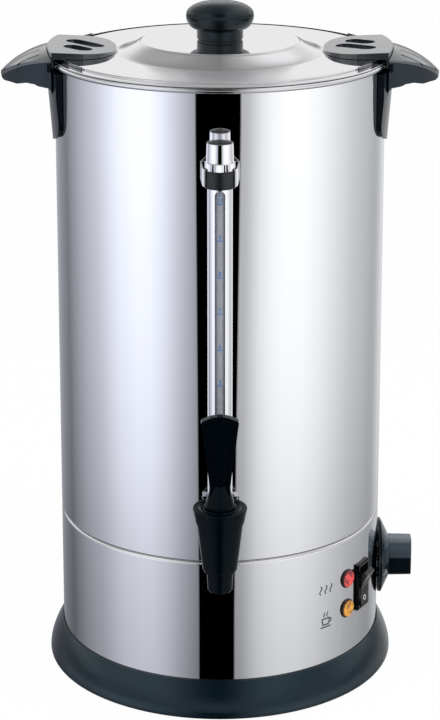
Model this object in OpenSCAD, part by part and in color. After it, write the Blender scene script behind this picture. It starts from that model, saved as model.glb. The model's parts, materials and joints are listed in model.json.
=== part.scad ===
// Hot water urn: a double-skin stainless vessel on a black moulded base, with a latched lid, two side
// handles, a sight gauge, a dispensing tap, pilot lamps, a rocker switch and a thermostat knob.
// +Z is up, the tap faces -Y, and the origin is the centre of the face that the urn stands on.

/* [Vessel] */
// Outer radius of the vessel and of the lower housing
body_r = 114.5; // [112:0.5:118]
// Thickness of the stainless sheet
sheet = 0.8; // [0.6:0.1:1.2]
// Height of the seam between the lower housing and the vessel
seam_z = 113.6; // [111:0.2:116]
// Height of the vessel's floor above the bench, inside
floor_z = 124.6; // [122.6:0.2:127]
// Height of the middle of the rolled bead
bead_z = 439.8; // [425:0.2:455]
// Radius of the rolled bead's section
bead_r = 1.9; // [1.5:0.1:2.4]

/* [Base] */
// Height of the flared base skirt's top edge
skirt_top_z = 26; // [22:0.5:30]
// Largest radius of the base skirt, beyond the vessel
skirt_flare = 9.8; // [7:0.2:12]
// Thickness of the flange under the vessel
skirt_wall = 2.6; // [2:0.1:3]
// Height that the rubber foot ring stands below the skirt
foot_h = 1; // [0.6:0.1:2]

/* [Lid] */
// Radius of the raised plateau of the lid
plateau_r = 55.2; // [50:0.2:60]
// Height of the plateau above the lid's ring
plateau_h = 7.8; // [5:0.2:10]
// Radius at which the flank meets the ring
flank_foot_r = 72; // [66:0.5:72.5]
// Height of the lid's ring above its flange
ring_h = 1.1; // [1:0.1:2.5]
// Radius of the lid knob's head
knob_r = 23.5; // [20:0.5:26]
// Radius of the lid knob's neck
knob_neck_r = 16; // [12:0.2:17]
// Height of the lid knob
knob_h = 26; // [23:0.5:30]

/* [Latches] */
// Half width of a latch pad along the rim
pad_half_w = 34.5; // [32:0.5:38]
// Radius of the latch pad's tip from the urn's axis
pad_tip_r = 71.6; // [71.4:0.2:80]
// Height of the latch pad above the lid's ring at the rim
pad_h = 5.2; // [4.2:0.2:6]
// Thickness of the latch pad's outer wall
pad_wall = 1.4; // [1:0.1:1.8]

/* [Handles] */
// Distance of a handle's tip beyond the vessel's wall
handle_reach = 37.5; // [32:0.5:45]
// Half width of a handle's grip where it meets the latch
grip_half_w = 36; // [32:0.5:40]
// Height of the grip's underside below the bead's middle
grip_drop = 13; // [11:0.5:16]
// Half width of the handle's leg
leg_half_w = 43; // [38:0.5:46]
// Length of the handle's leg below the grip
leg_len = 44; // [38:1:52]
// Thickness of the leg at its top
leg_top_t = 4.2; // [3.4:0.1:5]
// Thickness of the leg at its lower end
leg_low_t = 1.3; // [1:0.1:2]

/* [Sight gauge] */
// Distance of the gauge's axis in front of the vessel's wall
gauge_gap = 16.5; // [15.5:0.5:19]
// Outer radius of the glass tube
glass_r = 4.6; // [4:0.1:5]
// Outer radius of the slotted shield
shield_r = 8.2; // [7.8:0.1:8.5]
// Outer radius of the rubber collar
collar_r = 10.6; // [10.2:0.1:11]
// Width of the shield's window
window_w = 6.8; // [5:0.2:8]
// Height at which the shield enters the collar
shield_top_z = 380.2; // [340:0.2:385]

/* [Tap] */
// Height of the tap's shank
shank_z = 150; // [146:0.5:154]
// Distance of the tap's stem in front of the vessel's wall
tap_reach = 55.5; // [52:0.5:62]
// Outer radius of the threaded shank
shank_r = 8; // [7:0.1:8.4]
// Radius of the water way through the shank
shank_bore_r = 5; // [3.5:0.1:5.5]
// Radius of the tap body at its top
tap_top_r = 15.3; // [14.5:0.1:16]
// Radius of the spout
spout_r = 8.7; // [8:0.1:9.4]
// Height of the spout's mouth
spout_z = 118.3; // [112:0.2:122]
// Height of the top of the tap's body
tap_body_top_z = 166.2; // [164.6:0.2:168]
// Height of the bonnet
bonnet_h = 10; // [9:0.2:12]
// Length of the lever above the bonnet
lever_len = 62.4; // [52:0.2:70]
// Half width of the lever's fan at its top
lever_half_w = 12.2; // [10:0.1:15]

/* [Controls] */
// Direction of the pilot lamps from the front, in degrees
lamp_az = 51; // [48:0.1:51]
// Height of the red lamp
red_z = 82.6; // [80:0.2:90]
// Height of the amber lamp
amber_z = 60.2; // [50:0.2:62]
// Outer radius of a lamp's bezel
lamp_r = 6.8; // [6.4:0.1:7.6]
// Direction of the rocker switch from the front, in degrees
rocker_az = 60.8; // [60.4:0.1:66]
// Height of the middle of the rocker switch
rocker_z = 71.3; // [66:0.2:76]
// Width of the rocker switch's bezel
bezel_w = 17; // [16.6:0.1:18]
// Height of the rocker switch's bezel
bezel_h = 34.5; // [34:0.5:38]
// Direction of the thermostat knob from the front, in degrees
dial_az = 90; // [84:0.5:96]
// Height of the thermostat knob's axis
dial_z = 69.8; // [66:0.2:78]
// Radius of the thermostat knob's skirt
dial_r = 26.8; // [22:0.2:28]
// Length of the thermostat knob's grip beyond its skirt
dial_grip_h = 17; // [12:0.5:22]

/* [Hidden] */
$fn = 96;
clear = 0.3;
run_fit = 0.05;
touch = 0.1;
pilot_fit = 0.05;

inner_r = body_r - sheet;
bead_cr = inner_r + bead_r;
bead_out_r = bead_cr + bead_r;
bead_top_z = bead_z + bead_r;

// Front line of the gauge, the tap and its stem
gauge_y = -(body_r + gauge_gap);
tap_y = -(body_r + tap_reach);

// Lid levels, from the flange that lies over the bead
flange_fall = 0.4;
flange_z = bead_top_z + 0.2 + sheet + flange_fall;
ring_z = flange_z + ring_h;
plateau_z = ring_z + plateau_h;
ring_r = inner_r - 2.7;
flange_r = bead_out_r - 0.9;
lid_skirt_r = inner_r - 1.3;
lid_skirt_drop = 8;
knob_washer_t = 0.8;
knob_z = plateau_z + touch + knob_washer_t + touch;
knob_screw_r = 2;

// Latch levels
pad_top_z = ring_z + pad_h;
pad_low_z = ring_z + clear;
latch_in_r = bead_out_r + 0.4;
latch_out_r = latch_in_r + pad_wall;
latch_low_z = bead_z - 1.4;
latch_lip_az = 34.5;

// Handle levels
handle_tip_x = body_r + handle_reach;
grip_in_r = latch_out_r + 0.5;
grip_low_z = bead_z - grip_drop;
leg_in_r = body_r + clear;
leg_low_z = grip_low_z - leg_len;
handle_screw_y = 16;
handle_screw_z = grip_low_z + 1;
handle_screw_r = 2;

// Base levels
skirt_low_z = foot_h;
skirt_max_r = body_r + skirt_flare;
housing_low_z = 6.5;
skirt_flange_r = body_r - 10;
plate_t = 1;
plate_low_z = housing_low_z - skirt_wall - plate_t - 0.05;
plate_top_z = plate_low_z + plate_t;
plate_r = body_r - 3;
base_screw_r = 1.9;
base_screw_pcr = body_r - 6.5;
base_screw_n = 4;

// ---- Shared shapes ----

// Points on an arc round [cx, cy] from angle a0 to a1 in n steps
function arc(cx, cy, r, a0, a1, n = 8) =
    [for (i = [0 : n]) [cx + r * cos(a0 + (a1 - a0) * i / n), cy + r * sin(a0 + (a1 - a0) * i / n)]];

// Places children in the frame of a direction: local x is outward, y along the wall, z up
module facing(az, r, z) {
    rotate([0, 0, az - 90]) translate([r, 0, z]) children();
}

// A round bar along local x
module xbar(r, x0, x1) {
    translate([x0, 0, 0]) rotate([0, 90, 0]) cylinder(r = r, h = x1 - x0);
}

// A solid of revolution about local x from [radius, x] points
module xturn(points) {
    rotate([0, 90, 0]) rotate_extrude() polygon(points);
}

// A box centred across y and z that runs from x0 to x1
module xbox(x0, x1, w, h) {
    translate([x0, -w / 2, -h / 2]) cube([x1 - x0, w, h]);
}

// Both sides of the urn, one turned half a turn from the other
module both_sides() {
    children();
    rotate([0, 0, 180]) children();
}

// A pan-headed screw along local x, its head outwards of x = 0 on the side of the sign
module xscrew(r, head_r, head_h, length) {
    xbar(r, -length, 0);
    xturn([[0, -0.01], [head_r, 0], [head_r, head_h * 0.5], [head_r * 0.6, head_h], [0, head_h]]);
}

// ---- Vessel and housing ----

hole_clear = 0.2;
tank_edge_z = seam_z;
tank_corner_r = 5;

module handle_screw_sites() {
    both_sides()
        for (side = [-1, 1])
            translate([0, side * handle_screw_y, handle_screw_z]) children();
}

clip_screw_r = 1.5;

module tank() color("silver") difference() {
    rotate_extrude() {
        polygon([[inner_r, tank_edge_z], [body_r - 0.5, tank_edge_z], [body_r, tank_edge_z + 0.9],
            [body_r, bead_z], [inner_r, bead_z]]);
        difference() {
            translate([0, floor_z - sheet]) square([inner_r + 0.01, sheet + tank_corner_r]);
            translate([0, floor_z]) square([inner_r - tank_corner_r, tank_corner_r + 1]);
            translate([inner_r - tank_corner_r, floor_z + tank_corner_r]) circle(tank_corner_r);
        }
        translate([bead_cr, bead_z]) circle(bead_r);
    }
    facing(0, 0, shank_z) xbar(shank_r + hole_clear, body_r - 8, body_r + 4);
    facing(0, 0, upper_clip_z + clip_h / 2) xbar(clip_screw_r + hole_clear, body_r - 8, body_r + 4);
    handle_screw_sites() xbar(handle_screw_r + hole_clear, body_r - 4, body_r + 4);
}

shoulder_r = 2.2;
joggle_r = inner_r - clear;
joggle_top_z = floor_z - sheet;
housing_flange_r = body_r - 11;
inlet_z = 62;
inlet_screw_dz = 20;
inlet_screw_r = 1.5;
dial_hole_r = 5.4;
therm_screw_dz = 14;
therm_screw_r = 1.9;

module lower_housing() color("silver") difference() {
    rotate_extrude() polygon(concat(
        [[inner_r, housing_low_z + sheet], [housing_flange_r, housing_low_z + sheet],
            [housing_flange_r, housing_low_z], [body_r, housing_low_z]],
        arc(body_r - shoulder_r, seam_z - clear - shoulder_r, shoulder_r, 0, 60, 6),
        [[joggle_r, joggle_top_z], [joggle_r - sheet, joggle_top_z],
            [joggle_r - sheet, seam_z - 2.6], [inner_r, seam_z - 4.2]]));
    for (z = [red_z, amber_z])
        facing(lamp_az, 0, z) xbar(lamp_barrel_r + hole_clear, body_r - 6, body_r + 4);
    facing(rocker_az, 0, rocker_z)
        xbox(body_r - 6, body_r + 4, rocker_body_w + 2 * hole_clear, rocker_body_h + 2 * hole_clear);
    facing(dial_az, 0, dial_z) {
        xbar(dial_hole_r, body_r - 6, body_r + 4);
        for (dz = [-1, 1])
            translate([0, 0, dz * therm_screw_dz])
                xbar(therm_screw_r + hole_clear, body_r - 6, body_r + 4);
    }
    base_screw_sites() cylinder(r = base_screw_r + pilot_fit, h = housing_low_z + 4);
    facing(180, 0, inlet_z) {
        xbox(body_r - 6, body_r + 4, inlet_w + 2 * hole_clear, inlet_h + 2 * hole_clear);
        for (dz = [-1, 1])
            translate([0, 0, dz * inlet_screw_dz])
                xbar(inlet_screw_r + hole_clear, body_r - 6, body_r + 4);
    }
}

// Radius of the skirt's outer face at height z
skirt_crown_z = 4;
skirt_lip = 0.8;
function skirt_r(z) = body_r + clear + skirt_lip
    + (skirt_flare - clear - skirt_lip) * (1 - pow((z - skirt_crown_z) / (skirt_top_z - skirt_crown_z), 1.6));

skirt_steps = 10;
foot_w = 5;
foot_r = skirt_max_r - 4 - touch - foot_w;

module base_skirt() color("#20262c") difference() {
    rotate_extrude() polygon(concat(
        [[body_r + clear, skirt_top_z]],
        [for (i = [0 : skirt_steps])
            [skirt_r(skirt_top_z - (skirt_top_z - skirt_crown_z) * i / skirt_steps),
                skirt_top_z - (skirt_top_z - skirt_crown_z) * i / skirt_steps]],
        arc(skirt_max_r - 1.6, skirt_low_z + 1.6, 1.6, 0, -90, 4),
        [[skirt_max_r - 4, skirt_low_z], [skirt_max_r - 4, housing_low_z - skirt_wall],
            [skirt_flange_r, housing_low_z - skirt_wall], [skirt_flange_r, housing_low_z],
            [body_r + clear, housing_low_z]]));
    base_screw_sites() cylinder(r = base_screw_r + hole_clear, h = housing_low_z + 1);
}

module base_screw_sites() {
    for (i = [0 : base_screw_n - 1])
        rotate([0, 0, 45 + i * 360 / base_screw_n]) translate([base_screw_pcr, 0, 0]) children();
}

vent_n = 24;
vent_w = 3;
vent_l = 26;
vent_r = 48;

module base_plate() color("gray") difference() {
    translate([0, 0, plate_low_z]) cylinder(r = plate_r, h = plate_t);
    for (i = [0 : vent_n - 1])
        rotate([0, 0, i * 360 / vent_n]) translate([vent_r, -vent_w / 2, 0]) cube([vent_l, vent_w, 10]);
    base_screw_sites() cylinder(r = base_screw_r + hole_clear, h = 10);
}

module foot_ring() color("#101214") rotate_extrude()
    translate([foot_r, 0]) square([foot_w, housing_low_z - skirt_wall]);

module base_screws() color("silver") base_screw_sites() {
    translate([0, 0, plate_low_z - 1.35]) cylinder(r = 3.4, h = 1.3);
    translate([0, 0, plate_low_z - 0.2]) cylinder(r = base_screw_r, h = housing_low_z - plate_low_z + 2.4);
}

// ---- Heater and electrics ----

hot_plate_r = 72;
hot_plate_t = 4;
hot_plate_z = floor_z - sheet - touch - hot_plate_t;
element_r = 52;
element_wire_r = 3.4;
element_z = hot_plate_z - touch - element_wire_r;
element_gap_deg = 24;
element_tail = 22;

module heating_plate() color("gainsboro") difference() {
    translate([0, 0, hot_plate_z]) cylinder(r = hot_plate_r, h = hot_plate_t);
    translate([0, 0, hot_plate_z - 1]) cylinder(r = 2.2, h = hot_plate_t + 0.5);
}

module heating_element() color("dimgray") translate([0, 0, element_z]) {
    rotate([0, 0, 90 + element_gap_deg / 2])
        rotate_extrude(angle = 360 - element_gap_deg) translate([element_r, 0]) circle(element_wire_r);
    for (side = [-1, 1])
        rotate([0, 0, 90 + side * element_gap_deg / 2]) translate([element_r, 0, -element_tail]) {
            translate([0, 0, element_tail]) sphere(element_wire_r + 0.05);
            cylinder(r = element_wire_r - 0.3, h = element_tail);
            translate([0, 0, -8]) cylinder(r = 1.5, h = 9);
        }
}

clamp_w = 14;
clamp_t = 2;
clamp_z = element_z - element_wire_r - touch - clamp_t;

module element_clamp() color("silver") difference() {
    union() {
        translate([-element_r - 6, -clamp_w / 2, clamp_z]) cube([2 * element_r + 12, clamp_w, clamp_t]);
        translate([0, 0, clamp_z]) cylinder(r = 16, h = clamp_t);
        translate([0, 0, clamp_z - 5]) cylinder(r = 6.5, h = 5.5, $fn = 6);
        translate([0, 0, clamp_z - 8]) cylinder(r = 2, h = hot_plate_z - clamp_z + 10);
    }
    for (x = [-34, 34])
        translate([x, 0, clamp_z - 1]) cylinder(r = 3, h = clamp_t + 2);
}

cutout_y = 26;
cutout_r = 9;

module boil_dry_cutout() color("saddlebrown") translate([0, cutout_y, 0]) {
    translate([0, 0, hot_plate_z - touch - 9]) cylinder(r = cutout_r, h = 9);
    translate([0, 0, hot_plate_z - touch - 2.4]) cylinder(r = cutout_r + 2.5, h = 1.2);
    for (x = [-5, 5])
        translate([x - 0.4, -3, hot_plate_z - touch - 17]) cube([0.8, 6, 9]);
}

block_x = -52;
block_y = 36;
block_l = 44;
block_w = 20;
block_h = 15;

module terminal_block() color("ivory") difference() {
    translate([block_x - block_l / 2, block_y - block_w / 2, plate_top_z + touch])
        cube([block_l, block_w, block_h]);
    for (i = [-1.5 : 1.5])
        translate([block_x + i * 10, block_y, plate_top_z + block_h - 6]) {
            for (dy = [-5, 5])
                translate([0, dy, 0]) cylinder(r = 1.8, h = 8);
            translate([0, block_w, -2]) rotate([90, 0, 0]) cylinder(r = 1.6, h = 2 * block_w);
        }
}

// ---- Mains inlet at the back ----

inlet_w = 20;
inlet_h = 28;
inlet_depth = 26;
inlet_flange_w = 23;
inlet_flange_h = 50;
inlet_flange_t = 3;
inlet_cavity_w = 16.4;
inlet_cavity_h = 24.4;
inlet_cavity_depth = 17;
inlet_face = body_r + touch + inlet_flange_t;
inlet_screw_l = 12;

module mains_inlet() color("#15181b") facing(180, 0, inlet_z) {
    difference() {
        union() {
            xbox(inlet_face - inlet_depth, inlet_face - 0.5, inlet_w, inlet_h);
            xbox(body_r + touch, inlet_face, inlet_flange_w, inlet_flange_h);
        }
        xbox(inlet_face - inlet_cavity_depth, inlet_face + 1, inlet_cavity_w, inlet_cavity_h);
        for (dz = [-1, 1])
            translate([0, 0, dz * inlet_screw_dz])
                xbar(inlet_screw_r + hole_clear, body_r, inlet_face + 1);
    }
    for (pin = [[0, 7], [-4, -7], [4, -7]])
        translate([0, pin[0], pin[1]])
            xbox(inlet_face - inlet_cavity_depth - 0.5, inlet_face - 2, 2, 4);
}

module inlet_screws() color("silver") facing(180, 0, inlet_z)
    for (dz = [-1, 1])
        translate([inlet_face + 0.05, 0, dz * inlet_screw_dz]) xscrew(inlet_screw_r, 2.8, 1.6, inlet_screw_l);

// ---- Thermostat and its knob ----

therm_plate_w = 12;
therm_plate_h = 38;
therm_face = body_r - sheet - 0.3;
therm_body_w = 32;
therm_body_h = 34;
spindle_r = 3;
dial_skirt_x = body_r + clear;
dial_rim_t = 2.4;
dial_cone_h = 5.1;
dial_face_x = dial_skirt_x + dial_rim_t + dial_cone_h;
dial_face_r = 16;
dial_root_half_h = 14.4;
dial_end_half_h = 13.7;
dial_half_w = 6.2;
dial_ridge = 1.8;
dial_bevel = 1.8;
therm_depth = 24;
therm_head_r = 3.2;
therm_head_h = 1.5;
therm_screw_l = 6.5;

module thermostat() color("ivory") facing(dial_az, 0, dial_z) difference() {
    union() {
        xbox(therm_face - 2, therm_face, therm_plate_w, therm_plate_h);
        xbox(therm_face - therm_depth, therm_face - 2, therm_body_w, therm_body_h);
        xbar(dial_hole_r - 0.4, therm_face - 1, dial_skirt_x - touch);
        translate([-10, 0, 0]) for (y = [-9, 0, 9])
            translate([0, y, 0]) xbox(therm_face - 22, therm_face - 14, 0.8, 6);
    }
    xbar(spindle_r + run_fit, therm_face - 18, body_r + 3);
    for (dz = [-1, 1])
        translate([0, 0, dz * therm_screw_dz])
            xbar(therm_screw_r + pilot_fit, therm_face - therm_screw_l, body_r);
}

module thermostat_screws() color("silver") facing(dial_az, 0, dial_z)
    for (dz = [-1, 1])
        translate([body_r + 0.05, 0, dz * therm_screw_dz])
            xscrew(therm_screw_r, therm_head_r, therm_head_h, therm_screw_l);

module thermostat_spindle() color("silver") facing(dial_az, 0, dial_z)
    xbar(spindle_r, therm_face - 17, dial_face_x + 8);

// Side of the grip's section from its lower edge to its upper one
function dial_flank(side) = [
    [side * (dial_half_w - dial_bevel), -dial_root_half_h],
    [side * dial_half_w, dial_bevel - dial_root_half_h],
    [side * (dial_half_w + dial_ridge), 0], [side * dial_half_w, dial_root_half_h - dial_bevel],
    [side * (dial_half_w - dial_bevel), dial_root_half_h]];

module thermostat_knob() color("#1a1f24") facing(dial_az, 0, dial_z) difference() {
    union() {
        xturn([[0, dial_skirt_x], [dial_r - 0.5, dial_skirt_x], [dial_r, dial_skirt_x + 0.5],
            [dial_r, dial_skirt_x + dial_rim_t - 0.3], [dial_r - 0.4, dial_skirt_x + dial_rim_t],
            [dial_face_r, dial_face_x], [0, dial_face_x]]);
        // Bar grip, bevelled along its edges and with a ridge along each side
        intersection() {
            translate([0, dial_half_w + 1, 0]) rotate([90, 0, 0]) linear_extrude(2 * dial_half_w + 2)
                polygon([[dial_face_x - 1, -dial_root_half_h], [dial_face_x + dial_grip_h, -dial_end_half_h],
                    [dial_face_x + dial_grip_h, dial_end_half_h], [dial_face_x - 1, dial_root_half_h]]);
            translate([dial_face_x - 1, 0, 0]) rotate([90, 0, 90]) linear_extrude(dial_grip_h + 1)
                polygon(concat(dial_flank(1), [for (i = [4 : -1 : 0]) dial_flank(-1)[i]]));
        }
    }
    // Ring groove that clears the heads of the thermostat's screws
    difference() {
        xbar(therm_screw_dz + therm_head_r + 0.5, dial_skirt_x - 1, body_r + therm_head_h + 0.5);
        xbar(therm_screw_dz - therm_head_r - 0.5, dial_skirt_x - 2, dial_face_x);
    }
    xbar(spindle_r + pilot_fit, dial_skirt_x - 1, dial_face_x + 8.2);
}

// ---- Rocker switch ----

rocker_body_w = 15;
rocker_body_h = 31;
rocker_w = 12;
rocker_pivot_x = body_r - 4.5;
rocker_well_w = rocker_w + 0.6;
rocker_well_h = 30.2;
rocker_tilt = 10;
bezel_t = 2;
bezel_x = body_r + touch;
rocker_pin_r = 1.2;

module rocker_housing() color("#15181b") facing(rocker_az, 0, rocker_z) difference() {
    union() {
        xbox(rocker_pivot_x - 16, bezel_x + 0.5, rocker_body_w, rocker_body_h);
        xbox(bezel_x, bezel_x + bezel_t - 0.8, bezel_w, bezel_h);
        xbox(bezel_x + 0.5, bezel_x + bezel_t, bezel_w - 1.4, bezel_h - 1.4);
        for (z = [-8, 0, 8])
            translate([0, 0, z]) xbox(rocker_pivot_x - 24, rocker_pivot_x - 15, 5, 0.8);
    }
    xbox(rocker_pivot_x - 9, bezel_x + bezel_t + 1, rocker_well_w, rocker_well_h);
    translate([rocker_pivot_x, -rocker_body_w, 0]) rotate([-90, 0, 0])
        cylinder(r = rocker_pin_r + run_fit, h = 2 * rocker_body_w);
}

// Half of the rocker's side view when level, from its back to the middle of its face
rocker_side = [[-4, 2.4], [3, 12.4], [7.4, 13], [10, 12], [8, 5.4], [7.2, 0]];

// The rocker stands with its upper lip out and its lower half pressed in
module rocker() color("#1a1f24")
    facing(rocker_az, 0, rocker_z) translate([rocker_pivot_x, 0, 0]) rotate([0, rocker_tilt, 0]) {
        translate([0, rocker_w / 2, 0]) rotate([90, 0, 0]) linear_extrude(rocker_w)
            polygon(concat(rocker_side, [for (i = [4 : -1 : 0]) [rocker_side[i][0], -rocker_side[i][1]]]));
        translate([0, -rocker_body_w / 2 + 0.3, 0]) rotate([-90, 0, 0])
            cylinder(r = rocker_pin_r, h = rocker_body_w - 0.6);
    }

// ---- Pilot lamps ----

lamp_barrel_r = lamp_r - 1.2;
lamp_bore_r = lamp_barrel_r - 1.2;
lamp_x = body_r + touch;
lamp_bezel_t = 0.7;
lens_rise = 1.1;

module lamp_holder(z) facing(lamp_az, 0, z) xturn([
    [lamp_bore_r, lamp_x - 20], [lamp_barrel_r, lamp_x - 20], [lamp_barrel_r, lamp_x],
    [lamp_r, lamp_x], [lamp_r, lamp_x + lamp_bezel_t - 0.4], [lamp_r - 0.4, lamp_x + lamp_bezel_t],
    [lamp_bore_r, lamp_x + lamp_bezel_t]]);

module lamp_lens(z) facing(lamp_az, 0, z) {
    lens_x = lamp_x + lamp_bezel_t + touch;
    xturn([[0, lens_x - 12], [lamp_bore_r - 0.2, lens_x - 12], [lamp_bore_r - 0.2, lens_x],
        [lamp_r - 0.6, lens_x], [lamp_r - 0.7, lens_x + lens_rise - 0.6],
        [lamp_r - 0.9, lens_x + lens_rise - 0.2], [lamp_r - 1.4, lens_x + lens_rise],
        [0, lens_x + lens_rise + 0.3]]);
}

module red_lamp_holder() color("#20262c") lamp_holder(red_z);
module red_lens() color("red") lamp_lens(red_z);
module amber_lamp_holder() color("#20262c") lamp_holder(amber_z);
module amber_lens() color("orange") lamp_lens(amber_z);

// ---- Handles ----

grip_root_x = body_r;
grip_span = handle_tip_x - grip_root_x;
plan_steps = 14;
leg_top_z = grip_low_z + 9;

// Half width of the grip at distance x from the axis
function grip_w(x) = grip_half_w * pow(1 - pow((x - grip_root_x) / grip_span, 1.3), 0.69);

// Half outline of the grip seen from above, drawn in by d, denser towards the tip
function grip_plan(side, d) = [for (i = [0 : plan_steps])
    let (x = grip_root_x + grip_span * (1 - pow(1 - i / plan_steps, 1.8)))
    [x, side * max(grip_w(min(x, handle_tip_x - 0.001)) - d, 0)]];

module grip_outline(d) {
    polygon(concat(grip_plan(1, d), [for (i = [plan_steps - 1 : -1 : 0]) grip_plan(-1, d)[i]]));
}

// The crest is an arc about a line along y, and the crown across it is an arc too
crest_r = 67.8;
crest_cx = handle_tip_x - 47.3;
crest_cz = pad_top_z - 1 - 66.8;
crown_r = 150;
seam_crown_r = 210;
cover_t = 2.6;
cover_gap = 0.2;

module crown(r, across) {
    translate([crest_cx, 0, crest_cz]) rotate([90, 0, 0]) rotate_extrude($fn = 360) intersection() {
        translate([r - across, 0]) circle(across, $fn = 720);
        translate([0, -grip_half_w - 8]) square([r + 1, 2 * grip_half_w + 16]);
    }
}

// Underside of the grip from the wall to the tip, with a hollow for each row of fingers
under = [[0, -2], [7, -2], [13, -1.3], [15.5, -0.2], [20.5, 0], [26.5, -1.9], [31, -1.6], [35, -1.8],
    [36.6, -0.6], [37.4, 1.4]];

module grip_block(r, across) {
    intersection() {
        translate([0, 0, grip_low_z - 20]) linear_extrude(80) grip_outline(0);
        translate([0, grip_half_w + 2, 0]) rotate([90, 0, 0]) linear_extrude(2 * grip_half_w + 4)
            polygon(concat(
                [for (p = under) [grip_root_x - 6 + p[0] * (grip_span + 6) / 37.5, grip_low_z + p[1]]],
                [[handle_tip_x, grip_low_z + 3.4], [handle_tip_x, grip_low_z + 60],
                    [grip_root_x - 6, grip_low_z + 60]]));
        crown(r, across);
    }
}

leg_half_deg = asin(leg_half_w / body_r);
leg_corner_r = 12;
leg_fillet = 8;

// Shield outline of the leg, seen from the side
module leg_shield() {
    flat = leg_half_w - leg_corner_r;
    rise = leg_low_z + leg_corner_r + 7.5;
    polygon(concat([[-leg_half_w, leg_top_z], [-leg_half_w, rise + 1.5]],
        arc(-flat, rise, leg_corner_r, 180, 250, 5),
        [for (i = [-3 : 3]) [i * flat / 5, leg_low_z + 0.4 * i * i]],
        arc(flat, rise, leg_corner_r, 290, 360, 5),
        [[leg_half_w, rise + 1.5], [leg_half_w, leg_top_z]]));
}

module handle() difference() {
    union() {
        grip_block(crest_r - cover_t - cover_gap, seam_crown_r);
        intersection() {
            rotate([0, 0, -leg_half_deg]) rotate_extrude(angle = 2 * leg_half_deg) polygon([
                [leg_in_r - 1, leg_low_z - 2], [leg_in_r + leg_low_t, leg_low_z - 2],
                [leg_in_r + leg_top_t, grip_low_z - leg_fillet], [leg_in_r + leg_top_t, leg_top_z],
                [leg_in_r - 1, leg_top_z]]);
            rotate([90, 0, 90]) linear_extrude(body_r + 20) leg_shield();
        }
        // Fillet between the leg and the grip
        intersection() {
            rotate([0, 0, -leg_half_deg]) rotate_extrude(angle = 2 * leg_half_deg) polygon(concat(
                [[leg_in_r + 1, grip_low_z - leg_fillet]],
                arc(leg_in_r + leg_top_t + leg_fillet, grip_low_z - leg_fillet, leg_fillet, 180, 105, 5),
                [[leg_in_r + leg_top_t + leg_fillet, grip_low_z + 1], [leg_in_r + 1, grip_low_z + 1]]));
            translate([0, 0, grip_low_z - 30]) linear_extrude(60) grip_outline(0);
        }
    }
    // Room for the vessel's wall and bead and for the latch's outer wall
    cylinder(r = leg_in_r, h = grip_low_z + 60);
    translate([0, 0, bead_z - bead_r - 0.6]) cylinder(r = grip_in_r, h = 60);
    // Hollow under the cover
    translate([0, 0, grip_low_z + 2.4]) linear_extrude(60) intersection() {
        translate([grip_root_x + 13, -grip_half_w]) square([grip_span - 22, 2 * grip_half_w]);
        grip_outline(2.8);
    }
    // Notch beside the latch's outer wall
    for (side = [-1, 1])
        translate([body_r - 6, side * (grip_half_w + 4) - 5, bead_z - 4]) cube([9.4, 10, 5.8]);
    for (side = [-1, 1])
        translate([0, side * handle_screw_y, handle_screw_z])
            xbar(handle_screw_r + pilot_fit, body_r - 2, leg_in_r + leg_top_t + 1.8);
}

groove_w = 1.6;
groove_depth = 0.9;
groove_y = [8.5, 21];

module handle_cover() difference() {
    grip_block(crest_r, crown_r);
    crown(crest_r - cover_t, seam_crown_r);
    translate([0, 0, grip_low_z - 30]) cylinder(r = grip_in_r, h = 120);
    // Grooves along the top
    translate([crest_cx, 0, crest_cz]) intersection() {
        rotate([90, 0, 0]) for (y = groove_y, side = [-1, 1])
            translate([0, 0, side * y - groove_w / 2]) difference() {
                cylinder(r = crest_r + 5, h = groove_w);
                translate([0, 0, -1]) cylinder(r = crest_r - y * y / (2 * crown_r) - groove_depth,
                    h = groove_w + 2, $fn = 360);
            }
        translate([grip_root_x + 9 - crest_cx, -leg_half_w, 0])
            cube([grip_span - 12, 2 * leg_half_w, 2 * crest_r]);
    }
}

module right_handle() color("#1d242b") handle();
module right_handle_cover() color("#262e36") handle_cover();
module left_handle() color("#1d242b") rotate([0, 0, 180]) handle();
module left_handle_cover() color("#262e36") rotate([0, 0, 180]) handle_cover();

screw_head_x = sqrt(inner_r * inner_r - pow(handle_screw_y + 4, 2)) - 0.1;

module handle_screws() color("silver") both_sides()
    for (side = [-1, 1])
        translate([screw_head_x, side * handle_screw_y, handle_screw_z]) rotate([0, 0, 180])
            xscrew(handle_screw_r, 3.5, 1.8, leg_in_r + leg_top_t - screw_head_x);

// ---- Lid ----

lid_round = 0.9;
flank_steps = 8;
lid_centre_hole_r = knob_screw_r + 0.3;

// Height of the lid's flank at radius r, a hollow curve from the plateau's edge to the ring
function flank_z(r) = ring_z + plateau_h * pow((flank_foot_r - r) / (flank_foot_r - plateau_r), 1.35);

function lid_top(d) = concat(
    arc(plateau_r - lid_round, plateau_z - d - lid_round, lid_round, 90, 35, 4),
    [for (i = [1 : flank_steps])
        let (r = plateau_r + (flank_foot_r - plateau_r) * i / flank_steps) [r - d * 0.3, flank_z(r) - d]],
    arc(ring_r - lid_round - d, ring_z - d - lid_round, lid_round, 90, 0, 4));

// Height of the lid's flange at radius r, a shallow cone
function flange_top(r) = flange_z - flange_fall * (r - ring_r) / (flange_r - ring_r);

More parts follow.
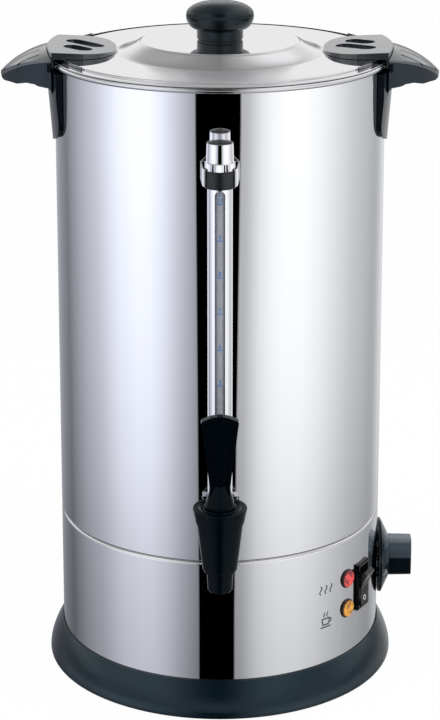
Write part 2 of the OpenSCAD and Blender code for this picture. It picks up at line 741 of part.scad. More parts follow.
module lid() color("silver") difference() {
    rotate_extrude() polygon(concat(
        [[lid_centre_hole_r, plateau_z]], lid_top(0),
        [[ring_r, flange_z]],
        arc(flange_r, flange_top(flange_r) - sheet / 2, sheet / 2, 90, -90, 4),
        [[lid_skirt_r, flange_top(lid_skirt_r) - sheet], [lid_skirt_r, flange_z - sheet - lid_skirt_drop],
            [lid_skirt_r - sheet, flange_z - sheet - lid_skirt_drop],
            [lid_skirt_r - sheet, flange_top(lid_skirt_r - sheet) - sheet],
            [ring_r - sheet, flange_z - sheet]],
        [for (i = [len(lid_top(sheet)) - 1 : -1 : 0]) lid_top(sheet)[i]],
        [[lid_centre_hole_r, plateau_z - sheet]]));
    latch_screw_sites() translate([0, 0, flange_z]) cylinder(r = latch_screw_r + hole_clear, h = 2 * ring_h);
}

// Widest height of the knob's head above its foot
knob_wide_h = knob_h * 0.62;
knob_crown_h = knob_h - knob_wide_h;

knob_foot_h = 6.5;
// Fullness of the head's crown, 1 for an ellipse
knob_full = 0.87;

module lid_knob() color("#15191d") difference() {
    translate([0, 0, knob_z]) rotate_extrude() polygon(concat(
        [[0, 0], [knob_neck_r - 0.4, 0], [knob_neck_r, 0.4], [knob_neck_r, knob_foot_h]],
        [for (i = [0 : 8]) let (a = i * 11.25)
            [knob_neck_r + 0.3 + (knob_r - knob_neck_r - 0.3) * sin(a),
                knob_wide_h - (knob_wide_h - knob_foot_h - 0.4) * cos(a)]],
        [for (i = [1 : 8]) let (a = i * 11.25)
            [knob_r * pow(cos(a), knob_full), knob_wide_h + knob_crown_h * pow(sin(a), knob_full)]]));
    translate([0, 0, knob_z - 1]) cylinder(r = knob_screw_r + pilot_fit, h = 15);
}

module knob_washer() color("black") translate([0, 0, plateau_z + touch]) difference() {
    cylinder(r = knob_neck_r - 0.6, h = knob_washer_t);
    translate([0, 0, -1]) cylinder(r = knob_screw_r + hole_clear, h = 4);
}

module knob_screw() color("silver") translate([0, 0, plateau_z - sheet - 0.05]) {
    translate([0, 0, -0.01]) cylinder(r = knob_screw_r, h = 13);
    translate([0, 0, -2.2]) cylinder(r = 4.5, h = 2.2);
}

// ---- Lid latches ----

latch_screw_y = 23;
latch_screw_x = body_r - 14.5;
latch_screw_r = 1.6;
slot_w = 12.4;
slot_skew = -40;
slot_len_long = 32;
slot_len_short = 23;
slot_floor = 1.2;

module latch_screw_sites() {
    both_sides()
        for (side = [-1, 1])
            translate([latch_screw_x, side * latch_screw_y, 0]) children();
}

// Half outline of the pad, a full curve from the tip to the rim
pad_back_x = 97.5;
pad_full = 0.9;
function pad_half(side) = [for (i = [0 : 10])
    let (a = i * 9)
    [pad_back_x - (pad_back_x - pad_tip_r) * pow(cos(a), pad_full), side * pad_half_w * pow(sin(a), pad_full)]];

module pad_outline() intersection() {
    polygon(concat(pad_half(-1), [[body_r + 20, -pad_half_w], [body_r + 20, pad_half_w]],
        [for (i = [10 : -1 : 0]) pad_half(1)[i]]));
    circle(latch_out_r);
}

// Side view of the pad's top, rising from the tip to the rim
pad_tip_h = 1.6;
function pad_z(x) = pad_low_z + pad_tip_h
    + (pad_top_z - pad_low_z - pad_tip_h) * pow((x - pad_tip_r) / (latch_out_r - pad_tip_r), 0.5);

module pad_slot(length) {
    translate([-length / 2, -slot_w / 2]) square([length, slot_w]);
    for (end = [-1, 1])
        translate([end * length / 2, 0]) circle(slot_w / 2);
}

module pad_slots() {
    translate([93.5, -6]) rotate(slot_skew) pad_slot(slot_len_long - slot_w);
    translate([97.5, 12]) rotate(slot_skew) pad_slot(slot_len_short - slot_w);
}

pad_skin = 2;

module lid_latch() difference() {
    union() {
        intersection() {
            translate([0, 0, pad_low_z]) linear_extrude(20) pad_outline();
            translate([0, pad_half_w + 2, 0]) rotate([90, 0, 0]) linear_extrude(2 * pad_half_w + 4)
                polygon(concat([[pad_tip_r - 1, pad_low_z]], [[latch_out_r + 1, pad_low_z]],
                    [for (i = [8 : -1 : 0])
                        let (x = pad_tip_r + (latch_out_r + 1 - pad_tip_r) * i / 8)
                        [x, pad_z(min(x, latch_out_r))]],
                    [[pad_tip_r - 1, pad_low_z + pad_tip_h - 0.3]]));
        }
        // Outer wall that hangs over the rolled bead
        intersection() {
            translate([0, 0, latch_low_z]) difference() {
                cylinder(r = latch_out_r, h = pad_top_z - latch_low_z - 0.6);
                translate([0, 0, -1]) cylinder(r = latch_in_r, h = 60);
            }
            translate([0, -pad_half_w, 0]) cube([latch_out_r, 2 * pad_half_w, 600]);
        }
        // Clip strip along the step of the lid's ring
        rotate([0, 0, -latch_lip_az]) rotate_extrude(angle = 2 * latch_lip_az)
            translate([ring_r + 0.2, flange_z + 0.2]) square([1, pad_low_z - flange_z + 0.2]);
    }
    // Grip slots, cut down to a floor
    translate([0, 0, pad_low_z + slot_floor]) linear_extrude(2 * pad_h) pad_slots();
    for (side = [-1, 1])
        translate([latch_screw_x, side * latch_screw_y, 0])
            cylinder(r = latch_screw_r + pilot_fit, h = pad_low_z + pad_skin);
}

module right_lid_latch() color("#1d242b") lid_latch();
module left_lid_latch() color("#1d242b") rotate([0, 0, 180]) lid_latch();

module latch_screws() color("silver") latch_screw_sites() {
    translate([0, 0, ring_z - sheet - 1.8]) cylinder(r = 3, h = 1.7);
    translate([0, 0, ring_z - sheet - 0.2]) cylinder(r = latch_screw_r, h = sheet + clear + 1.8);
}

// ---- Sight gauge ----

gauge_d = -gauge_y;
socket_r = 10.5;
socket_front = gauge_d + 10.7;
socket_back = gauge_d - 10.7;
neck_r = 9.7;
neck_top_z = shank_z + 16;
shield_sink = 4;
shield_wall = 1;
glass_wall = 1;
glass_low_z = shank_z + shank_r + clear;
collar_top_z = shield_top_z + 11.7;
glass_top_z = collar_top_z + 6;
window_low_z = shank_z + 42;
window_top_z = shield_top_z - 1;
cap_knurl_r = 9.9;
cap_knurl_h = 5.3;
cap_knurl_n = 36;
cap_knurl_cut = 0.4;
cap_foot_r = 9.1;
cap_head_r = 8.6;
cap_top_z = collar_top_z + 17.6;
cap_recess_r = 7.6;
cap_recess_d = 3;
cap_breather_r = 2;
plug_t = 2.3;
plug_bore_r = 1.1;

module at_gauge(z) {
    translate([0, gauge_y, z]) children();
}

module gauge_socket() color("#1a1f24") difference() {
    union() {
        facing(0, 0, shank_z) xbar(socket_r, socket_back, socket_front);
        at_gauge(shank_z) cylinder(r = neck_r, h = neck_top_z - shank_z);
    }
    facing(0, 0, shank_z) xbar(shank_r + pilot_fit, socket_back - 1, socket_front + 1);
    at_gauge(shank_z) cylinder(r = 2.6, h = 30);
    at_gauge(glass_low_z) cylinder(r = glass_r + 0.3, h = 30);
    at_gauge(neck_top_z - shield_sink) cylinder(r = shield_r + touch, h = 30);
}

module gauge_glass() color("lightblue") at_gauge(glass_low_z + touch) difference() {
    cylinder(r = glass_r, h = glass_top_z - glass_low_z - touch);
    translate([0, 0, -1]) cylinder(r = glass_r - glass_wall, h = 400);
}

module gauge_shield() color("gainsboro") difference() {
    at_gauge(neck_top_z - shield_sink + touch)
        cylinder(r = shield_r, h = shield_top_z + shield_sink - neck_top_z + shield_sink - touch);
    at_gauge(0) cylinder(r = shield_r - shield_wall, h = 500);
    translate([0, gauge_y - 3, 0]) rotate([90, 0, 0]) linear_extrude(10) {
        translate([-window_w / 2, window_low_z + window_w / 2])
            square([window_w, window_top_z - window_low_z - window_w]);
        for (z = [window_low_z + window_w / 2, window_top_z - window_w / 2])
            translate([0, z]) circle(window_w / 2);
    }
}

module gauge_collar() color("#15181b") at_gauge(shield_top_z) difference() {
    rotate_extrude() polygon(concat([[0, 0]], arc(collar_r - 0.8, 0.8, 0.8, -90, 0, 3),
        arc(collar_r - 0.8, collar_top_z - shield_top_z - 0.8, 0.8, 0, 90, 3),
        [[0, collar_top_z - shield_top_z]]));
    translate([0, 0, -1]) cylinder(r = shield_r + touch, h = shield_sink + 1 + touch);
    cylinder(r = glass_r + 0.2, h = 40);
}

module cap_knurl() {
    step = 180 / cap_knurl_n;
    polygon([for (i = [0 : 2 * cap_knurl_n - 1])
        (cap_knurl_r - (i % 2) * cap_knurl_cut) * [cos(i * step), sin(i * step)]]);
}

module gauge_cap() color("silver") at_gauge(collar_top_z + touch) difference() {
    union() {
        intersection() {
            linear_extrude(cap_knurl_h) cap_knurl();
            rotate_extrude() polygon([[0, -1], [cap_knurl_r + 1, -1], [cap_knurl_r + 1, cap_knurl_h - 1.6],
                [cap_knurl_r - 1, cap_knurl_h + 0.1], [0, cap_knurl_h + 0.1]]);
        }
        cylinder(r1 = cap_foot_r, r2 = cap_head_r, h = cap_top_z - collar_top_z - touch);
    }
    translate([0, 0, -1]) cylinder(r = glass_r + 0.3, h = glass_top_z - collar_top_z + 1.2);
    translate([0, 0, 3]) cylinder(r = cap_breather_r, h = 20);
    translate([0, 0, cap_top_z - collar_top_z - cap_recess_d]) cylinder(r = cap_recess_r, h = 10);
}

module gauge_seals() color("black") {
    at_gauge(glass_low_z + 3) rotate_extrude() translate([glass_r + touch / 2, 0]) square([0.2, 2]);
    // Plug in the cap's recess, with its air hole
    at_gauge(cap_top_z - cap_recess_d + 2 * touch) rotate_extrude() translate([plug_bore_r, 0])
        square([cap_recess_r - plug_bore_r - touch, plug_t]);
}

clip_t = 0.8;
clip_half_w = 12;
clip_h = 11.5;
lower_clip_h = 8;
clip_reach = norm([clip_half_w, gauge_gap]);
clip_end_deg = -33;
upper_clip_z = shield_top_z + 1.3;
lower_clip_z = neck_top_z - 11.5;
clip_foot = 12;

// Seen from above with the wall towards +y: one arm from the wall to the pipe, then round it
module clip_arm(grip) {
    lean = atan2(gauge_gap, clip_half_w) - acos(grip / clip_reach);
    middle = (lean + clip_end_deg) / 2;
    far = 3 * grip;
    polygon([[clip_half_w, gauge_gap], [clip_half_w + clip_t, gauge_gap],
        [(grip + clip_t) * cos(lean), (grip + clip_t) * sin(lean)], [grip * cos(lean), grip * sin(lean)]]);
    intersection() {
        difference() {
            circle(grip + clip_t);
            circle(grip);
        }
        polygon([[0, 0], [far * cos(lean), far * sin(lean)], [far * cos(middle), far * sin(middle)],
            [far * cos(clip_end_deg), far * sin(clip_end_deg)]]);
    }
}

module clip_arms(z, h, grip) at_gauge(z) linear_extrude(h) {
    clip_arm(grip);
    mirror([1, 0]) clip_arm(grip);
}

module upper_clip() color("silver") difference() {
    union() {
        difference() {
            clip_arms(upper_clip_z, clip_h, collar_r + touch);
            cylinder(r = body_r + touch, h = bead_z);
        }
        translate([0, 0, upper_clip_z]) linear_extrude(clip_h) intersection() {
            difference() {
                circle(body_r + touch + clip_t);
                circle(body_r + touch);
            }
            translate([-clip_half_w - clip_t, -body_r - gauge_gap])
                square([2 * (clip_half_w + clip_t), 2 * gauge_gap]);
        }
    }
    facing(0, 0, upper_clip_z + clip_h / 2) xbar(clip_screw_r + hole_clear, body_r - 2, body_r + 3);
}

// The lower clip is held under the shank's flange
module lower_clip() color("silver") {
    clip_y = -flange_back + touch;
    difference() {
        union() {
            difference() {
                clip_arms(lower_clip_z, lower_clip_h, neck_r + touch);
                translate([-2 * clip_half_w, clip_y, lower_clip_z - 1])
                    cube([4 * clip_half_w, 2 * gauge_gap, lower_clip_h + 2]);
            }
            translate([-clip_half_w - clip_t, clip_y, shank_z - clip_foot])
                cube([2 * (clip_half_w + clip_t), clip_t, lower_clip_z + lower_clip_h - shank_z + clip_foot]);
        }
        facing(0, 0, shank_z) {
            xbar(shank_r + hole_clear, flange_back - 10, flange_back + 10);
            xbar(shank_flange_r + clear, flange_back, socket_back + clear);
            xbar(socket_r + clear, socket_back, socket_front + 2);
        }
    }
}

module clip_screw() color("silver") facing(0, 0, upper_clip_z + clip_h / 2) {
    translate([body_r + clip_t + 2 * touch + 0.1, 0, 0]) xscrew(clip_screw_r, 2.8, 1.6, 8);
    xturn([[0, inner_r - 5.2], [1.4, inner_r - 5], [2.8, inner_r - 3.4], [2.8, inner_r - 0.2],
        [0, inner_r - 0.2]]);
}

// ---- Tap ----

tap_d = -tap_y;
flange_back = body_r + 4.4;
flange_t = socket_back - flange_back;
shank_flange_r = 13.4;
shank_in = inner_r - 17;
washer_r = 14;
nut_r = 14.5;
nut_h = 7;
boss_r = 10.2;
boss_back = tap_d - 21;
shank_end = tap_d - 9;
seat_z = shank_z - 13;
chamber_r = 7.6;
cone_low_r = 11.4;
spigot_r = 11.6;
spigot_z = tap_body_top_z - 6;
bonnet_top_z = tap_body_top_z + bonnet_h + touch;
bonnet_out_r = 17.75;
stem_r = 3;

module tap_shank() color("silver") facing(0, 0, shank_z) difference() {
    union() {
        xbar(shank_r, shank_in, shank_end);
        xbar(shank_flange_r, flange_back, flange_back + flange_t);
    }
    xbar(shank_bore_r, shank_in - 1, shank_end + 1);
    translate([gauge_d, 0, 0]) cylinder(r = 2.6, h = 20);
}

module shank_nuts() color("silver") facing(0, 0, shank_z) difference() {
    union() {
        translate([inner_r - 5.2 - nut_h, 0, 0]) rotate([0, 90, 0]) cylinder(r = nut_r, h = nut_h, $fn = 6);
        translate([socket_front + 0.4, 0, 0]) rotate([0, 90, 0])
            cylinder(r = 11.6, h = boss_back - socket_front - 0.8, $fn = 6);
    }
    xbar(shank_r + pilot_fit, shank_in, boss_back);
}

module shank_washers() color("dimgray") difference() {
    facing(0, 0, shank_z) {
        xbar(washer_r, inner_r - 5, inner_r);
        xbar(washer_r, body_r - 2, flange_back - clip_t - 2 * touch);
    }
    difference() {
        cylinder(r = body_r + touch, h = 300);
        translate([0, 0, -1]) cylinder(r = inner_r - touch, h = 302);
    }
    facing(0, 0, shank_z) xbar(shank_r + touch, inner_r - 10, flange_back);
}

module at_tap(z) {
    translate([0, tap_y, z]) children();
}

module tap_body() color("#15181b") difference() {
    union() {
        at_tap(0) rotate_extrude() polygon([[0, spout_z], [spout_r - 1.3, spout_z],
            [spout_r - 0.7, spout_z + 0.8], [spout_r, spout_z + 12.6],
            [cone_low_r - 0.8, spout_z + 13.8], [cone_low_r, spout_z + 15.6],
            [tap_top_r, tap_body_top_z], [0, tap_body_top_z]]);
        facing(0, 0, shank_z) xbar(boss_r, boss_back, tap_d);
    }
    at_tap(spout_z - 1) cylinder(r = spout_r - 1.9, h = seat_z - spout_z - 1.4);
    at_tap(spout_z) cylinder(r = 4.6, h = 30);
    at_tap(seat_z) cylinder(r = chamber_r, h = 60);
    at_tap(spigot_z - touch) cylinder(r = spigot_r + touch, h = 60);
    facing(0, 0, shank_z) {
        xbar(shank_r + pilot_fit, boss_back - 1, shank_end + touch);
        xbar(shank_bore_r, boss_back, tap_d);
    }
}

heel_r = 1.3;
heel_y = tap_y - 8.9;
heel_z = bonnet_top_z + 0.6;

module heel(r, half) {
    translate([-half, heel_y, heel_z]) rotate([0, 90, 0]) cylinder(r = r, h = 2 * half);
}

module tap_bonnet() color("#1a1f24") difference() {
    at_tap(0) rotate_extrude() polygon(concat(
        [[chamber_r, spigot_z], [spigot_r, spigot_z], [spigot_r, tap_body_top_z + touch],
            [16, tap_body_top_z + touch], [bonnet_out_r, bonnet_top_z - 0.9]],
        arc(bonnet_out_r - 0.9, bonnet_top_z - 0.9, 0.9, 20, 90, 3),
        [[14.4, bonnet_top_z], [12.6, bonnet_top_z - 0.7], [11.2, bonnet_top_z - 0.7],
            [10.8, bonnet_top_z - 0.2], [stem_r + run_fit, bonnet_top_z - 0.2],
            [stem_r + run_fit, bonnet_top_z - 4.4], [chamber_r, bonnet_top_z - 4.4]]));
    heel(heel_r + run_fit, 5.3);
}

stem_flange_z = seat_z + 15;
stem_top_z = heel_z + 5.8;
pin_z = heel_z + 3.2;
pin_r = 1.3;

module tap_stem() color("ivory") difference() {
    at_tap(0) rotate_extrude() polygon([[0, seat_z + 1], [2.2, seat_z + 1], [2.2, seat_z + 5],
        [stem_r, seat_z + 5], [stem_r, stem_flange_z], [6.4, stem_flange_z], [6.4, stem_flange_z + 1.2],
        [stem_r, stem_flange_z + 1.2], [stem_r, stem_top_z], [0, stem_top_z]]);
    translate([-10, tap_y, pin_z]) rotate([0, 90, 0]) cylinder(r = pin_r + pilot_fit, h = 20);
}

module seat_cup() color("white") at_tap(0) rotate_extrude() polygon([
    [0, seat_z + 0.05], [6.2, seat_z + 0.05], [6.6, seat_z + 0.5], [6, seat_z + 4.6], [2.25, seat_z + 4.6],
    [2.25, seat_z + 0.95], [0, seat_z + 0.95]]);

spring_low_z = stem_flange_z + 1.3;
spring_top_z = bonnet_top_z - 4.5;
spring_wire_r = 0.55;
spring_r = 5.2;
spring_turns = 5;
spring_steps = 18;
spring_sides = 6;

module tap_spring() color("silver") at_tap(0) {
    count = spring_turns * spring_steps;
    low = spring_low_z + spring_wire_r;
    rise = spring_top_z - spring_low_z - 2 * spring_wire_r;
    polyhedron(
        points = [for (i = [0 : count], k = [0 : spring_sides - 1])
            let (a = 360 * i / spring_steps, b = 360 * k / spring_sides,
                r = spring_r + spring_wire_r * cos(b))
            [r * cos(a), r * sin(a), low + rise * i / count + spring_wire_r * sin(b)]],
        faces = concat(
            [[for (k = [0 : spring_sides - 1]) k]],
            [for (i = [0 : count - 1], k = [0 : spring_sides - 1])
                let (m = (k + 1) % spring_sides, p = i * spring_sides)
                [p + k, p + spring_sides + k, p + spring_sides + m, p + m]],
            [[for (k = [spring_sides - 1 : -1 : 0]) count * spring_sides + k]]));
}

waist_z = heel_z + 14.7;
waist_r = 6.6;
lever_neck_r = 6;
fan_top_z = bonnet_top_z + lever_len;
fan_side_z = fan_top_z - 3.4;
fan_low_z = heel_z + 9;
fan_root_t = 10;
fan_top_t = 5.4;
fan_rim = 1.9;
fan_recess = 1.1;

// Front view of the lever's fan, drawn in by d
module fan_shape(d, low) {
    half = lever_half_w - d;
    root = waist_r - d;
    polygon(concat([[-root, low], [root, low], [root, waist_z + d]],
        [[half, fan_side_z - d - 1]],
        [for (i = [6 : -1 : -6])
            [half * 0.97 * i / 6, fan_side_z - d + (fan_top_z - fan_side_z) * (1 - i * i / 36)]],
        [[-half, fan_side_z - d - 1], [-root, waist_z + d]]));
}

module tap_lever() color("#15181b") difference() {
    union() {
        at_tap(heel_z) rotate_extrude() polygon([[0, 0], [10, 0], [10.2, 0.5], [9.5, 1.3],
            [lever_neck_r, waist_z - heel_z], [lever_neck_r - 1.4, waist_z - heel_z + 1.4],
            [0, waist_z - heel_z + 2]]);
        intersection() {
            at_tap(0) translate([0, 20, 0]) rotate([90, 0, 0]) linear_extrude(40) fan_shape(0, fan_low_z);
            translate([-30, 0, 0]) rotate([90, 0, 90]) linear_extrude(60) polygon([
                [tap_y - fan_root_t / 2, fan_low_z], [tap_y - fan_root_t / 2, waist_z],
                [tap_y - fan_top_t / 2, fan_top_z], [tap_y + fan_top_t / 2, fan_top_z],
                [tap_y + fan_root_t / 2, waist_z], [tap_y + fan_root_t / 2, fan_low_z]]);
        }
        heel(heel_r, 5);
    }
    // Sunk panels on both faces, parallel to them
    intersection() {
        at_tap(0) translate([0, 20, 0]) rotate([90, 0, 0]) linear_extrude(40)
            fan_shape(fan_rim, waist_z + 0.4);
        for (side = [-1, 1])
            translate([-30, 0, 0]) rotate([90, 0, 90]) linear_extrude(60) polygon([
                [tap_y + side * (fan_root_t / 2 - fan_recess), waist_z],
                [tap_y + side * (fan_root_t / 2 + 5), waist_z],
                [tap_y + side * (fan_root_t / 2 + 5), fan_top_z],
                [tap_y + side * (fan_top_t / 2 - fan_recess), fan_top_z]]);
    }
    // Room for the stem's head, and the slot that its pin slides in
    translate([-stem_r - 0.4, tap_y - stem_r - 0.5, heel_z - 2]) cube([2 * stem_r + 0.8, stem_r + 7.2, 9.4]);
    translate([-7.4, tap_y - 0.3, pin_z - pin_r - 0.35]) cube([14.8, 2.96, 2 * pin_r + 0.7]);
    for (y = [-0.3, 2.66])
        translate([-7.4, tap_y + y, pin_z]) rotate([0, 90, 0]) cylinder(r = pin_r + 0.35, h = 14.8);
}

module lever_pin() color("silver")
    translate([-7, tap_y, pin_z]) rotate([0, 90, 0]) cylinder(r = pin_r, h = 14);

tank();
lower_housing();
base_skirt();
base_plate();
foot_ring();
base_screws();
heating_plate();
heating_element();
element_clamp();
boil_dry_cutout();
terminal_block();
mains_inlet();
inlet_screws();
thermostat();
thermostat_screws();
thermostat_spindle();
thermostat_knob();
rocker_housing();
rocker();
red_lamp_holder();
red_lens();
amber_lamp_holder();
amber_lens();
right_handle();
right_handle_cover();
left_handle();
left_handle_cover();
handle_screws();
lid();
lid_knob();
knob_washer();
knob_screw();
right_lid_latch();
left_lid_latch();
latch_screws();
gauge_socket();
gauge_glass();
gauge_shield();
gauge_collar();
gauge_cap();
gauge_seals();
upper_clip();
lower_clip();
clip_screw();
tap_shank();
shank_nuts();
shank_washers();
tap_body();
tap_bonnet();
tap_lever();
lever_pin();
tap_stem();
seat_cup();
tap_spring();
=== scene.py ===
"""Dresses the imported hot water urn: finishes for its nodes, printed marks and a plain studio."""
import json
import logging
import math
from dataclasses import dataclass, field
from enum import Enum
from typing import Callable

import bmesh
import bpy
from mathutils import Matrix, Vector


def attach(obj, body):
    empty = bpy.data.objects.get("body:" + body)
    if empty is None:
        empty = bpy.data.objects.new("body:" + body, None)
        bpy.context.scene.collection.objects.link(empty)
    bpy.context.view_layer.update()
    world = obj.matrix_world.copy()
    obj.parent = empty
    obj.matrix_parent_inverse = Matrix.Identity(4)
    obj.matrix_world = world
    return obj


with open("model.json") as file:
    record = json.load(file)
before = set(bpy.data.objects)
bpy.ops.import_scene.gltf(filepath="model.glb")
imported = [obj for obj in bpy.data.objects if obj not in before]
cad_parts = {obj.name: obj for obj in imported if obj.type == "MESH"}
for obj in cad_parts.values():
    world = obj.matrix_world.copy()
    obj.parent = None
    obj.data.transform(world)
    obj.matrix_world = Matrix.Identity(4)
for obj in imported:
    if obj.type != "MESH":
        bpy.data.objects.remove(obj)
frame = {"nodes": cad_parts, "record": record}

logging.basicConfig(level=logging.INFO, format="%(message)s")
log = logging.getLogger("urn")

Colour = tuple[float, float, float]
Point = tuple[float, float, float]
Span = tuple[float, float]
Stops = list[tuple[float, float]]
Socket = bpy.types.NodeSocket
MM = 0.001
WHITE: Colour = (1.0, 1.0, 1.0)
MASK_SCALE_SHARE = 0.02
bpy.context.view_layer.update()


# ---- Node helpers ----

class Nodes:
    """Adds nodes to a tree and wires them up."""

    def __init__(self, tree: bpy.types.NodeTree) -> None:
        """Keeps the tree that the nodes go into."""
        self.tree = tree

    def add(self, kind: str, inputs: dict[str | int, object] | None = None,
            **settings: object) -> bpy.types.Node:
        """Adds a node.

        Args:
            kind: The node's type without its ShaderNode prefix.
            inputs: Values or sockets for its inputs, by name or place.
            **settings: Properties of the node.

        Returns:
            The new node.
        """
        node = self.tree.nodes.new("ShaderNode" + kind)
        for name, value in settings.items():
            setattr(node, name, value)
        for name, value in (inputs or {}).items():
            if isinstance(value, Socket):
                self.tree.links.new(value, node.inputs[name])
            else:
                node.inputs[name].default_value = value
        return node

    def maths(self, operation: str, a: Socket | float, b: Socket | float = 0.0,
              clamp: bool = False) -> Socket:
        """Adds a Math node on one or two values, kept between 0 and 1 if clamped."""
        return self.add("Math", {0: a, 1: b}, operation=operation, use_clamp=clamp).outputs[0]

    def span(self, value: Socket, low: float, high: float, to: Span = (0.0, 1.0),
             soft: bool = False) -> Socket:
        """Maps low and high to the two ends of another range, and holds it beyond them."""
        return self.add("MapRange", {0: value, 1: low, 2: high, 3: to[0], 4: to[1]},
                        interpolation_type="SMOOTHSTEP" if soft else "LINEAR").outputs[0]

    def mix(self, share: Socket | float, first: Socket | Colour, second: Socket | Colour,
            blend: str = "MIX") -> Socket:
        """Mixes two colours.

        Args:
            share: The share of the second.
            first: The first colour.
            second: The second colour.
            blend: The way that they are mixed.

        Returns:
            The colour.
        """
        pair = [(*side, 1.0) if isinstance(side, tuple) else side for side in (first, second)]
        return self.add("Mix", {0: share, 6: pair[0], 7: pair[1]}, data_type="RGBA",
                        blend_type=blend).outputs[2]

    def ramp(self, value: Socket, stops: Stops, low: float, high: float) -> Socket:
        """Turns a value into a grey by a curve of straight lines.

        Args:
            value: The socket that is looked up.
            stops: Pairs of a place and a grey.
            low: The place at the ramp's left end.
            high: The place at its right end.

        Returns:
            The colour output.
        """
        node = self.add("ValToRGB", {0: self.span(value, low, high)})
        elements = node.color_ramp.elements
        while len(elements) > 1:
            elements.remove(elements[-1])
        for index, (at, grey) in enumerate(stops):
            share = (at - low) / (high - low)
            element = elements[0] if index == 0 else elements.new(share)
            element.position = share
            element.color = (grey, grey, grey, 1.0)
        return node.outputs[0]


def effect_group(
        name: str, inputs: dict[str, float], outputs: dict[str, str],
        build: Callable[[Nodes, bpy.types.Node, bpy.types.Node], None]) -> bpy.types.NodeTree:
    """Makes a shader node group once.

    Args:
        name: The group's name.
        inputs: Float inputs and their defaults. A Vector input comes first.
        outputs: Outputs and their socket types.
        build: Fills the group, given its nodes, its input node and its output node.

    Returns:
        The group.
    """
    if name in bpy.data.node_groups:
        return bpy.data.node_groups[name]
    group = bpy.data.node_groups.new(name, "ShaderNodeTree")
    group.interface.new_socket(name="Vector", in_out="INPUT", socket_type="NodeSocketVector")
    for key, value in inputs.items():
        socket = group.interface.new_socket(name=key, in_out="INPUT", socket_type="NodeSocketFloat")
        socket.default_value = value
    for key, kind in outputs.items():
        group.interface.new_socket(name=key, in_out="OUTPUT", socket_type=kind)
    build(Nodes(group), group.nodes.new("NodeGroupInput"), group.nodes.new("NodeGroupOutput"))
    return group


def build_handling(n: Nodes, inp: bpy.types.Node, out: bpy.types.Node) -> None:
    """Fills the group of faint wipe marks and smears that change the gloss.

    Args:
        n: The group's nodes.
        inp: Its input node.
        out: Its output node.
    """
    smear = n.add("TexNoise", {"Vector": inp.outputs["Vector"], "Scale": inp.outputs["Scale"],
                               "Detail": 4.0, "Roughness": 0.6})
    spread = n.maths("MULTIPLY", n.maths("SUBTRACT", smear.outputs[0], 0.5), inp.outputs["Amount"])
    gloss = n.maths("ADD", inp.outputs["Roughness"], spread, clamp=True)
    n.tree.links.new(gloss, out.inputs["Roughness"])


def build_grain(n: Nodes, inp: bpy.types.Node, out: bpy.types.Node) -> None:
    """Fills the group of moulded grain: a fine height and a mask that shades the colour.

    Args:
        n: The group's nodes.
        inp: Its input node.
        out: Its output node.
    """
    fine = n.add("TexNoise", {"Vector": inp.outputs["Vector"], "Scale": inp.outputs["Scale"],
                              "Detail": 3.0, "Roughness": 0.55})
    coarse = n.maths("MULTIPLY", inp.outputs["Scale"], MASK_SCALE_SHARE)
    broad = n.add("TexNoise", {"Vector": inp.outputs["Vector"], "Scale": coarse, "Detail": 2.0})
    height = n.maths("MULTIPLY", fine.outputs[0], inp.outputs["Depth"])
    n.tree.links.new(height, out.inputs["Height"])
    n.tree.links.new(broad.outputs[0], out.inputs["Mask"])


def handling_group() -> bpy.types.NodeTree:
    """Returns the group of wipe marks."""
    return effect_group("handling", {"Scale": 12.0, "Roughness": 0.1, "Amount": 0.05},
                        {"Roughness": "NodeSocketFloat"}, build_handling)


def grain_group() -> bpy.types.NodeTree:
    """Returns the group of moulded grain."""
    return effect_group("grain", {"Scale": 2500.0, "Depth": 1.0},
                        {"Height": "NodeSocketFloat", "Mask": "NodeSocketFloat"}, build_grain)


# ---- Finishes ----

@dataclass(frozen=True)
class Finish:
    """A finish: a base colour, a gloss with faint wipe marks, and a fine surface."""

    name: str
    colour: Colour
    shade: Colour
    roughness: float
    metallic: float = 0.0
    smears: float = 0.04
    smear_scale: float = 12.0
    grain_scale: float = 2500.0
    bump: float = 0.05
    depth: float = 0.00002
    coat: float = 0.0
    coat_roughness: float = 0.1
    ior: float = 1.5
    tint: Colour = WHITE

    def start(self) -> tuple[bpy.types.Material, Nodes, bpy.types.Node, Socket]:
        """Makes an empty material.

        Returns:
            The material, its nodes, its Principled shader and its object coordinates.
        """
        material = bpy.data.materials.new(self.name)
        material.use_nodes = True
        material.diffuse_color = (*self.colour, 1.0)
        material.node_tree.nodes.clear()
        n = Nodes(material.node_tree)
        shader = n.add("BsdfPrincipled", {
            "Base Color": (*self.colour, 1.0), "Metallic": self.metallic,
            "Roughness": self.roughness, "IOR": self.ior, "Specular Tint": (*self.tint, 1.0),
            "Coat Weight": self.coat, "Coat Roughness": self.coat_roughness})
        n.add("OutputMaterial", {"Surface": shader.outputs[0]})
        return material, n, shader, n.add("TexCoord").outputs["Object"]

    def build(self) -> bpy.types.Material:
        """Builds the material.

        Returns:
            The material.
        """
        material, n, shader, where = self.start()
        handling = n.add("Group", node_tree=handling_group())
        grain = n.add("Group", node_tree=grain_group())
        for group, values in ((handling, {"Scale": self.smear_scale, "Roughness": self.roughness,
                                          "Amount": self.smears}),
                              (grain, {"Scale": self.grain_scale, "Depth": 1.0})):
            n.tree.links.new(where, group.inputs["Vector"])
            for key, value in values.items():
                group.inputs[key].default_value = value
        bump = n.add("Bump", {"Strength": self.bump, "Distance": self.depth,
                              "Height": grain.outputs["Height"]})
        n.tree.links.new(self.tone(n, where, grain.outputs["Mask"]), shader.inputs["Base Color"])
        n.tree.links.new(handling.outputs["Roughness"], shader.inputs["Roughness"])
        n.tree.links.new(bump.outputs[0], shader.inputs["Normal"])
        return material

    def tone(self, n: Nodes, where: Socket, mask: Socket) -> Socket:
        """Mixes the base colour and its shade by the grain's broad mask."""
        return n.mix(mask, self.colour, self.shade)


